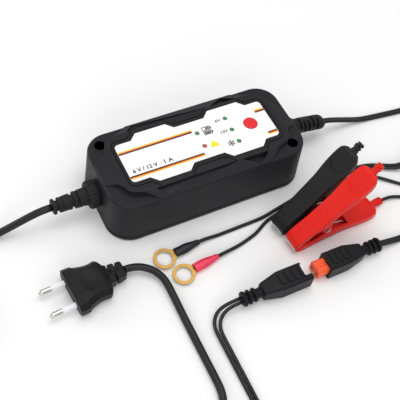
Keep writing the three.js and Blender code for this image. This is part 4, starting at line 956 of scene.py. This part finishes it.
def make_plug():
    def sec(w, t):
        return rounded([(w, -t * 0.46), (w, t * 0.46), (w - 3.4, t), (-w + 3.4, t), (-w, t * 0.46), (-w, -t * 0.46), (-w + 3.4, -t), (w - 3.4, -t)], [0.8, 0.8, 1.6, 1.6, 0.8, 0.8, 1.6, 1.6], 4)
    rows = [(0.0, 17.0, 6.4), (0.35, 17.45, 6.7), (0.9, 17.65, 6.85), (4.0, 17.5, 6.85), (7.3, 17.3, 6.85), (7.6, 16.3, 6.85), (9.6, 15.6, 6.85), (11.6, 14.95, 6.85), (13.6, 14.45, 6.8), (15.6, 14.05, 6.7), (17.6, 13.8, 6.6), (19.4, 13.85, 6.45), (21.0, 14.1, 6.3), (22.6, 14.4, 6.15), (24.0, 14.25, 5.9), (25.4, 13.3, 5.5), (26.6, 11.2, 5.15), (27.4, 8.6, 4.9)]
    b = loft_x([(x, sec(w, t)) for x, w, t in rows])
    # slotted bend relief: a tapering block with staggered slots
    sq = lambda w, t: rounded([(w, -t), (w, t), (-w, t), (-w, -t)], 1.3, 5)
    tail = loft_x([(26.5, sq(8.4, 4.9)), (29.2, sq(7.0, 4.7)), (34.0, sq(6.5, 4.45)), (38.6, sq(6.1, 4.2)), (39.6, sq(5.7, 3.9)), (40.0, sq(5.0, 3.3))])
    slots = []
    for x0, x1, side in ((28.9, 30.3, 1), (31.6, 33.0, -1), (34.3, 35.7, 1)):
        slots.append(cut(box(x0, x1, -0.4 if side > 0 else -12, 12 if side > 0 else 0.4, -8, 8), cyl_x(0, 0, 3.5, x0 - 1, x1 + 1, 32)))
    tail = cut(tail, *slots)
    b = join(b, tail)
    # finger dimples on both broad faces, and the pin seats
    dim = []
    for s in (-1, 1):
        o = lathe([(0, -1)] + [(math.cos(math.radians(a)), math.sin(math.radians(a))) for a in range(-75, 90, 15)] + [(0, 1)], 48)
        moved(o, Matrix.Translation((14.8, 0, s * 12.05)) @ Matrix.Rotation(math.radians(s * 2), 4, "Y") @ Matrix.Diagonal((16.5, 15.5, 6.3, 1)))
        dim.append(o)
    b = cut(b, together(*dim))
    b = cut(b, together(*[cyl_x(s * 9.3, 0, 1.5, -2, 6, 24) for s in (-1, 1)]), together(*[cyl_x(s * 9.3, 0, 2.6, -2, 0.28, 32) for s in (-1, 1)]))
    return bevelled(b, 0.3, 3, 30)


plug = piece(make_plug(), "mains_plug", M["plug"], nodes="plug_body", matrix=PLUG)
for side, s in (("left", 1), ("right", -1)):
    pin = lathe_x([(0, -19.0), (0.75, -18.95), (1.3, -18.7), (1.65, -18.2), (1.9, -17.5), (2.0, -16.8), (2.0, -10.35), (1.95, -10.3), (1.2, -10.3), (1.2, 5.6), (0, 5.6)], s * 9.3, 0, 40)
    piece(pin, f"pin_{side}", M["pin"], nodes=f"plug_pin_{side}", matrix=PLUG, smooth=40)
    slv = lathe_x([(1.35, -10.2), (1.88, -10.2), (1.95, -10.1), (1.97, -0.4), (1.95, -0.3), (1.35, -0.3), (1.35, -10.2)], s * 9.3, 0, 40)
    piece(slv, f"pin_{side}_sleeve", M["sleeve"], nodes=f"pin_sleeve_{side}", matrix=PLUG, smooth=40)

# ------------------------------------------------------------------ connectors
def con_sec(w, h, c=1.25, r=0.6):
    return rounded([(w, -h + c), (w, h - c), (w - c, h), (-w + c, h), (-w, h - c), (-w, -h + c), (-w + c, -h), (w - c, -h)], r, 3)


def connector_body(L):
    b = loft_x([(-L - 0.6, con_sec(4.0, 4.2, 1.3)), (-L - 0.2, con_sec(4.8, 5.0, 1.4)), (-L + 0.4, con_sec(5.1, 5.3, 1.4)), (-L + 14, con_sec(7.7, 7.2)), (-0.2, con_sec(7.7, 7.2)), (0, con_sec(7.55, 7.05))])
    oval = lambda w, h: [(w * math.cos(a), h * math.sin(a)) for a in [2 * math.pi * k / 28 for k in range(28)]]
    x = -L
    rows = [(x - 16, 2.9, 2.4), (x - 15.9, 4.2, 4.2), (x - 15.5, 5.3, 5.3), (x - 14.4, 5.7, 5.7), (x - 13.5, 5.4, 5.4), (x - 13.2, 4.2, 4.2), (x - 12.9, 3.3, 3.1), (x - 12.0, 3.3, 3.1), (x - 11.7, 4.2, 4.2), (x - 11.3, 5.2, 5.2), (x - 10.4, 5.5, 5.5), (x - 9.6, 5.2, 5.2), (x - 9.3, 4.0, 3.9), (x - 9.0, 3.35, 3.15),
            (x - 7.7, 3.4, 3.2), (x - 7.4, 4.3, 4.3), (x - 7.0, 5.1, 5.1), (x - 6.2, 5.4, 5.4), (x - 5.4, 5.15, 5.15), (x - 5.1, 4.3, 4.1), (x - 4.8, 3.75, 3.55), (x + 1.0, 3.8, 3.6)]
    tail = loft_x([(a, oval(w, h)) for a, w, h in rows])
    return join(b, tail)


def grips(xs, hook, front=1):
    """Shallow curved slots across the broad top face, each with a short hook at its front end."""
    out = []
    for x in xs:
        mid = [(x, 4.6), (x, -1.6), (x + hook * 0.25, -2.8), (x + hook * 0.95, -3.7), (x + hook * 2.0, -4.1), (x + hook * 3.3, -4.15)]
        left, right = [], []
        for i, p in enumerate(mid):
            a, b = Vector(mid[max(0, i - 1)]), Vector(mid[min(len(mid) - 1, i + 1)])
            t = (b - a).normalized()
            n_ = Vector((-t.y, t.x)) * 0.5
            left.append((p[0] + n_.x, p[1] + n_.y)); right.append((p[0] - n_.x, p[1] - n_.y))
        out.append(prism(ccw([(a, front * b) for a, b in left + right[::-1]]), 6.4, 8.2))
    return out


def female():
    b = connector_body(40)
    b = cut(b, box(-13.5, 1, -5.9, 5.9, -5.15, 5.15), box(-7.8, 1, -3.6, 5.9, -8, 8), box(-6.6, 1, 5.8, 9, -8, 8), box(-2.6, 1, -9, 9, -9, 9))
    b = cut(b, together(*[cyl_x(s * 2.9, 0, 1.45, -16.5, -13, 24) for s in (-1, 1)]))
    b = cut(b, together(*grips([-26.8, -21.4, -16.0, -10.6], 1)))
    return bevelled(b, 0.22, 2, 32)


def contact(s):
    return lathe_x([(0, -16.2), (1.15, -16.2), (1.15, -9.3), (1.0, -8.75), (0.6, -8.45), (0, -8.4)], s * 2.9, 0, 24)


CON = {"clamp": Matrix.Translation((FEMALE_X, CONN_Y, 7.3)), "ring": Matrix.Translation((RC[0], RC[1], 7.3)), "dc": Matrix.Translation((MALE_X, CONN_Y, 7.3)) @ Matrix.Rotation(math.pi, 4, "Z")}
con_parts = {"clamp": [], "ring": [], "dc": []}
for key in ("clamp", "ring"):
    con_parts[key].append(piece(female(), f"connector_{key}_lead", M["connector"], nodes=f"{key}_connector_shell", matrix=CON[key]))
    for side, s in (("left", 1), ("right", -1)):
        con_parts[key].append(piece(contact(s), f"contact_{key}_{side}", M["brass"], nodes=f"{key}_contact_{side}", matrix=CON[key], smooth=40))


def male():
    b = connector_body(31.5)
    b = cut(b, box(-12.5, 1, -5.8, 5.8, -5.0, 5.0))
    b = cut(b, together(*grips([-4.0, -8.6, -13.2, -17.8], -1, -1)))
    return bevelled(b, 0.22, 2, 32)


con_parts["dc"].append(piece(male(), "connector_output_lead", M["connector"], nodes="dc_connector_shell", matrix=CON["dc"]))


def make_insert():
    sec = rounded([(5.5, -3.2), (5.5, 3.4), (4.2, 4.7), (1.6, 4.7), (0.8, 4.1), (-0.8, 4.1), (-1.6, 4.7), (-4.2, 4.7), (-5.5, 3.4), (-5.5, -3.2), (-4.0, -4.7), (-1.9, -4.7), (-0.9, -3.6), (-0.9, -1.3), (0.9, -1.3), (0.9, -3.6), (1.9, -4.7), (4.0, -4.7)], 0.35, 3)
    g = loft_x([(-12.2, sec), (8.9, sec), (9.1, [(a * 0.985, b * 0.975) for a, b in sec])])
    g = cut(g, *[loft_x([(x, rounded([(s * 2.9 - 1.6, -1.6), (s * 2.9 + 1.6, -1.6), (s * 2.9 + 1.6, 1.6), (s * 2.9 - 1.6, 1.6)], 0.5, 4)) for x in (0.5, 8.25)]) for s in (-1, 1)])
    g = cut(g, *[cyl_x(s * 2.9, 0, 1.1, 8, 13, 24) for s in (-1, 1)])
    return bevelled(g, 0.22, 2, 32)


con_parts["dc"].append(piece(make_insert(), "connector_insert", M["orange"], nodes="dc_connector_insert", matrix=CON["dc"]))
for side, s in (("left", 1), ("right", -1)):
    g = lathe_x([(1.2, 0.8), (1.5, 0.8), (1.5, 7.9), (1.42, 8.0), (1.28, 8.0), (1.2, 7.9), (1.2, 0.8)], s * 2.9, 0, 32)
    con_parts["dc"].append(piece(g, f"contact_output_{side}", M["brass"], nodes=f"dc_contact_{side}", matrix=CON["dc"], smooth=40))

# ------------------------------------------------------------------ ring terminals and their sleeves
for tag, (c, to) in RINGS.items():
    place = Matrix.Translation((c[0], c[1], RZ)) @ Matrix.Rotation(math.atan2(to[1] - c[1], to[0] - c[0]), 4, "Z")
    plan = []
    for k in range(49):
        a = math.radians(38 + (322 - 38) * k / 48)
        plan.append((8.2 * math.cos(a), 8.2 * math.sin(a)))
    neck = [(8.6, -3.3), (10.2, -2.3), (12.2, -1.9), (12.2, 1.9), (10.2, 2.3), (8.6, 3.3)]
    t = prism(ccw(plan + neck), -1.0, -0.1)
    t = join(t, cyl_x(0, 0, 1.6, 10.5, 19.0, 32))
    t = cut(t, cyl_z(0, 0, 5.75, -3, 3, 64), cyl_x(0, 0, 0.7, 8, 16.5, 16))
    ob = piece(bevelled(t, 0.16, 2, 32), f"ring_{tag}", M["brass"], nodes=f"{tag}_ring_terminal", matrix=place)
    rng = random.Random(11 if tag == "black" else 23)
    rows, cols = [], 36
    prof = [(8.7, 3.55, 2.1), (9.2, 3.6, 2.25), (11.0, 3.6, 2.45), (13.0, 3.6, 2.65), (15.0, 3.65, 2.8), (17.0, 3.65, 2.85), (19.0, 3.5, 2.85), (21.0, 3.2, 2.75), (23.0, 2.75, 2.55), (24.6, 2.5, 2.4), (26.2, 2.3, 2.25), (27.8, 2.15, 2.1), (28.6, 2.05, 2.05)]
    ph = [rng.uniform(0, 6.28) for _ in range(4)]
    for i, (x, w, h) in enumerate(prof):
        row = []
        for k in range(cols):
            a = 2 * math.pi * k / cols
            wob = 1 + 0.018 * math.sin(3 * a + ph[0] + 0.5 * x) + 0.012 * math.sin(5 * a + ph[1] - 0.9 * x)
            row.append((x, w * wob * math.cos(a), h * wob * math.sin(a) if h * wob * math.sin(a) > -RZ + 0.03 else -RZ + 0.03))
        rows.append(row)
    back = [(28.65, 1.75), (28.6, 1.45), (19.6, 1.45), (19.4, 1.9), (12.6, 1.95)]
    inner = [[(x, r_ * math.cos(2 * math.pi * k / cols), r_ * math.sin(2 * math.pi * k / cols)) for k in range(cols)] for x, r_ in back]
    mouth = [[(12.4, 2.6 * math.cos(2 * math.pi * k / cols), 1.3 * math.sin(2 * math.pi * k / cols)) for k in range(cols)], [(8.7, 2.75 * math.cos(2 * math.pi * k / cols), 1.55 * math.sin(2 * math.pi * k / cols)) for k in range(cols)]]
    sections = rows + inner + mouth
    verts = [p for r_ in sections for p in r_]
    m_ = len(sections)
    faces = [(i * cols + k, i * cols + (k + 1) % cols, ((i + 1) % m_) * cols + (k + 1) % cols, ((i + 1) % m_) * cols + k) for i in range(m_) for k in range(cols)]
    sl = raw("work", verts, faces)
    sub = sl.modifiers.new("s", "SUBSURF")
    sub.levels = sub.render_levels = 1
    evaluated(sl)
    so = piece(sl, f"sleeve_{tag}", M["blksleeve" if tag == "black" else "crimson"], nodes=f"{tag}_ring_sleeve", matrix=place, weighted=False)
# ------------------------------------------------------------------ clamps: s from nose to rear, t across, upper arm at t > 0
PIV = (28.0, 0.0)
def spread(pts):
    """Behind the pivot the handles spread apart."""
    return [(s, t + 0.1 * (s - 28) if s > 28 and t > 0 else t) for s, t in pts]


OUT = spread([(0, 1.9), (0.5, 3.9), (1.8, 5.9), (5, 7.8), (8.5, 8.9), (12, 9.8), (16, 10.7), (20, 11.6), (24, 12.7), (28, 14.0), (33, 15.8), (38, 17.6), (44, 19.5), (50, 21.3), (56, 23.1), (62, 24.9), (66, 26.25), (69, 27.2), (70.6, 27.35), (72, 26.9), (73.0, 25.9), (73.2, 25.0)])
INN = spread([(72.2, 20.6), (67, 19.1), (62, 17.6), (56, 15.6), (50, 13.4), (45, 11.5), (40, 9.6), (36.5, 8.3), (33, 7.2), (30, 5.4), (27.5, 5.05), (25, 5.0), (18, 5.0), (15, 4.3), (12, 3.2), (9, 2.2), (6, 1.3), (3.5, 0.8), (1.5, 0.45), (0.2, 0.35)])
PLAN = [(-1, 6.6), (0.6, 6.9), (10, 7.0), (20, 7.15), (28, 7.5), (35, 7.55), (42, 7.7), (47, 8.2), (52, 8.9), (57, 9.3), (62, 9.4), (66, 9.2), (69, 8.6), (71, 7.4), (72.4, 6.0), (75, 3.4)]


def plan_outline(d):
    up = [(s, max(1, w - d)) for s, w in PLAN]
    return ccw([(s, -w) for s, w in up] + [(s, w) for s, w in up][::-1])


def clamp_arm(upper):
    prof = ccw(OUT + INN)
    a = meet(prism_y(prof, -12, 12), prism(plan_outline(0), -5, 40))
    a = bevelled(a, 1.15, 5, 42)
    # thumb rest: a round dish that deepens towards the nose
    dish = lathe([(0, -4), (7.0, -4), (7.0, 0), (7.4, 0.6), (7.4, 8), (0, 8)], 64)
    dish = moved(dish, Matrix.Translation((60.6, 0, 27.4)) @ Matrix.Rotation(math.radians(-29.0), 4, "Y") @ Matrix.Translation((0, 0, 4)))
    a = cut(a, dish)
    # the front half is hollow, and the handle has only a shallow panel on its inner face
    ch = spread([(1.6, -5), (46.0, -5), (46.0, 16.4), (44.4, 17.4), (38, 15.3), (28, 11.7), (20, 9.4), (12, 7.6), (5, 5.6), (2.4, 3.4), (1.6, 1.6)])
    a = cut(a, meet(prism_y(rounded(ccw(ch), 0.8, 3), -12, 12), prism(plan_outline(1.9), -9, 40)))
    panel = [(48.0, -5), (70.2, -5), (70.2, 24.75), (67, 23.55), (62, 21.55), (56, 18.95), (50, 16.15), (48.0, 15.2)]
    a = cut(a, meet(prism_y(ccw(panel), -12, 12), prism(plan_outline(2.4), -9, 40)))
    ear = rounded([(23.6, 6.5), (24.8, -0.6), (26.2, -2.4), (28, -3.1), (29.8, -2.4), (31.2, -0.6), (33.0, 9.8), (28, 10.0)], [0, 1.2, 1.0, 1.0, 1.0, 1.2, 0, 0], 4)
    y0, y1 = (5.55, 7.4) if upper else (3.3, 5.1)
    a = join(a, *[prism_y(ear, min(s * y0, s * y1), max(s * y0, s * y1)) for s in (-1, 1)])
    if not upper:
        a = join(a, *[prism_y([(20.4, 6.0), (36.4, 9.0), (36.4, 12.4), (20.4, 9.2)], min(s * 3.3, s * 5.9), max(s * 3.3, s * 5.9)) for s in (-1, 1)])
    a = cut(a, cyl_y(PIV[0], PIV[1], 1.8, -12, 12, 32))
    # two small marks above the pivot, left by the mould
    a = cut(a, together(*[moved(cyl_z(0, 0, 0.75, -0.35, 3, 24), Matrix.Translation((s, y, t)) @ Matrix.Rotation(math.radians(-18), 4, "Y")) for s, y, t in ((26.5, 2.6, 13.5), (32.2, -2.4, 15.45))]))
    ang = math.radians(23)
    boot = lathe([(0, 0), (2.9, 0), (3.0, 4.5), (2.9, 4.75), (2.55, 4.9), (2.55, 6.0), (2.95, 6.1), (3.15, 6.35), (3.15, 10.0), (2.9, 10.65), (2.2, 11.0), (0, 11.0)], 40)
    boot = cut(boot, *[meet(cut(cyl_z(0, 0, 4, z0, z0 + 0.9, 32), cyl_z(0, 0, 2.1, z0 - 1, z0 + 2, 32)), box(-5, 5, -5 if side > 0 else 0.7, -0.7 if side > 0 else 5, 0, 12)) for z0, side in ((7.8, 1), (9.2, -1))])
    boot = moved(boot, Matrix.Translation((71.0 - 0.4 * math.cos(ang), 0, 27.9 - 0.4 * math.sin(ang))) @ Matrix.Rotation(math.pi / 2 - ang, 4, "Y"))
    a = join(a, boot)
    a = cut(a, moved(cyl_x(0, 0, 1.42, -3.0, 14, 32), Matrix.Translation((71.0, 0, 27.9)) @ Matrix.Rotation(-ang, 4, "Y")))
    if not upper:
        a = cut(a, moved(cyl_x(0, 0, 1.5, -27.0, 1.0, 32), Matrix.Translation((71.0, 0, 27.9)) @ Matrix.Rotation(-math.radians(25.3), 4, "Y")))
    if not upper:
        moved(a, Matrix.Diagonal((1, -1, -1, 1)))
    return bevelled(a, 0.22, 2, 36)


def jaw(upper):
    top = [(17.5, 7.9), (12, 6.9), (5, 5.0), (2.9, 3.2)]
    inn = [(17.5, 6.3), (14, 5.0), (12.6, 3.2), (11.6, 4.2), (10.6, 2.2), (9.6, 3.6), (8.6, 1.6), (7.6, 2.8), (6.6, 1.0), (5.6, 2.0), (4.6, 0.6), (3.6, 1.4), (2.9, 0.5), (2.0, 0.42)]
    j = prism_y(ccw(inn[::-1] + top), -4.6, 4.6)
    j = cut(j, prism_y([(5, -1), (18.5, -1), (18.5, 6.1), (12, 5.4), (5, 3.2)], -3.4, 3.4))
    if not upper:
        moved(j, Matrix.Diagonal((1, -1, -1, 1)))
    return bevelled(j, 0.09, 2, 25)


for tag in ("red", "black"):
    place = clamp_matrix(tag)
    mat = M["clampred"] if tag == "red" else M["clampblk"]
    for n_, upper in (("upper", True), ("lower", False)):
        body = f"{tag}_clamp_upper" if upper else "charger"
        piece(clamp_arm(upper), f"{tag}_clamp_{n_}_handle", mat, body=body, nodes=f"{tag}_clamp_{n_}_arm", matrix=place)
        piece(jaw(upper), f"{tag}_clamp_{n_}_teeth", M["copper"], body=body, nodes=f"{tag}_clamp_{n_}_jaw", matrix=place)
    # the front edge of the plates shows as a thin bright lip under the nose
    lip = bevelled(box(-0.6, 1.9, -5.9, 5.9, -0.24, 0.34), 0.08, 2, 30)
    piece(lip, f"{tag}_clamp_upper_lip", M["steel"], body=f"{tag}_clamp_upper", matrix=place)
    rivet = lathe([(0, -8.2), (1.5, -8.16), (2.1, -8.02), (2.35, -7.85), (2.35, -7.75), (1.5, -7.7), (1.5, 7.7), (2.35, 7.75), (2.35, 7.85), (2.1, 8.02), (1.5, 8.16), (0, 8.2)], 40)
    rivet = moved(rivet, Matrix.Translation((PIV[0], 0, PIV[1])) @ Matrix.Rotation(math.pi / 2, 4, "X"))
    piece(rivet, f"{tag}_clamp_rivet", M["steel"], nodes=f"{tag}_clamp_pin", matrix=place, smooth=40)
    # torsion spring: turns about the pivot, and a leg along each handle
    R, turns, wire = 2.68, 4.5, 0.46
    upper_leg = [(PIV[0] + 17.0, 2.3, 15.2), (PIV[0] + 11.5, 2.3, 10.6), (PIV[0] + 6, 2.3, 5.5)]
    t0 = math.atan2(5.5, 6.0)
    a_start = t0 + math.acos(R / math.hypot(6.0, 5.5))
    line = []
    a_end = -a_start
    total = 2 * math.pi * math.floor(turns) + ((a_end - a_start) % (2 * math.pi))
    n = 120
    for k in range(n + 1):
        f = k / n
        a = a_start + total * f
        line.append((PIV[0] + R * math.cos(a), 2.3 - 4.6 * f, R * math.sin(a)))
    line += [(x, -y, -z) for x, y, z in upper_leg[::-1]]
    dense = resample(line, 0.55)
    sp = sweep("work_spring", [tuple(p) for p in dense], circle(wire, 10), up=(0.02, 1, 0.03))
    sp.data.transform(Matrix.Scale(1000, 4))
    piece(sp, f"{tag}_clamp_coil_spring", M["steel"], nodes=f"{tag}_clamp_spring", matrix=place, weighted=False)
    # the leg along the upper handle turns with it, on the coil's own circle
    leg = resample(upper_leg + [(PIV[0] + R * math.cos(a_start), 2.3, R * math.sin(a_start))], 0.55)
    lg = sweep("work_leg", [tuple(p) for p in leg], circle(wire, 10), up=(0.02, 1, 0.03))
    lg.data.transform(Matrix.Scale(1000, 4))
    piece(lg, f"{tag}_clamp_spring_leg", M["steel"], body=f"{tag}_clamp_upper", matrix=place, weighted=False)
# ------------------------------------------------------------------ inside parts keep the CAD shapes
for node, key in (("circuit_board", "pcb"), ("transformer", "ferrite"), ("mains_capacitor", "cap"), ("heat_sink", "alu"), ("mode_switch", "pcb")):
    ob = NODES[node]
    for slot_ in ob.material_slots:
        slot_.link = "OBJECT"
        slot_.material = M[key]

# ------------------------------------------------------------------ cords
for ob in cords.values():
    ob.data.materials.append(M["cord"])
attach(cords["mains"], "charger"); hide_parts("mains_cord_near", "mains_cord_coil", "mains_cord_far")
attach(cords["dc"], "charger"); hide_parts("dc_cord_near", "dc_cord_coil", "dc_cord_far")
for key in wire_lines:
    kind, tag = key.split("_")
    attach(cords[key], "charger"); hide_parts(f"{kind}_wire_{tag}")
metres(mains_line)
metres(dc_line)
for tag in ("black", "red"):
    line = wire_lines["clamp_" + tag]
    tuple(c * MM for c in line[-1])
    metres(line[::-1])
    line = wire_lines["ring_" + tag]
    tuple(c * MM for c in line[-1])
    metres(line[::-1])

# ------------------------------------------------------------------ floor and light
floor_mat, nt, b = material("pale_floor")
tc = nt.nodes.new("ShaderNodeTexCoord").outputs["Object"]
nt.links.new(ramp(nt, noise(nt, 3.0, 3.0, 0.5, tc), [(0.3, (0.90, 0.90, 0.90, 1)), (0.7, (0.92, 0.92, 0.92, 1))]), b.inputs["Base Color"])
nt.links.new(remap(nt, noise(nt, 40.0, 3.0, 0.5, tc), 0.3, 0.7, 0.75, 0.85), b.inputs["Roughness"])
floor = raw("floor", [(-6, -6, -0.00002), (6, -6, -0.00002), (6, 6, -0.00002), (-6, 6, -0.00002)], [(0, 1, 2, 3)])
floor.data.materials.append(floor_mat)

world = bpy.data.worlds.new("studio")
bpy.context.scene.world = world
world.use_nodes = True
bg = world.node_tree.nodes["Background"]
bg.inputs["Color"].default_value = (1.0, 1.0, 1.0, 1.0)
bg.inputs["Strength"].default_value = 0.62


def area(name, place, target, size, power, colour=(1, 1, 1)):
    la = bpy.data.lights.new(name, "AREA")
    la.shape, la.size, la.size_y, la.energy, la.color = "RECTANGLE", size[0], size[1], power, colour
    ob = bpy.data.objects.new(name, la)
    bpy.context.scene.collection.objects.link(ob)
    ob.location = place
    ob.rotation_euler = (Vector(target) - Vector(place)).to_track_quat("-Z", "Y").to_euler()
    return ob


area("softbox_front", (-0.5, -1.3, 0.75), (0, 0, 0.02), (1.0, 0.7), 5.5)
area("softbox_top", (0.15, 0.1, 1.5), (0, 0, 0.0), (1.2, 1.0), 9.0)
area("softbox_back", (-1.1, 0.9, 0.55), (0, 0, 0.03), (0.7, 0.8), 5.5)
bpy.context.scene.view_settings.view_transform = "Standard"
bpy.context.scene.view_settings.look = "None"
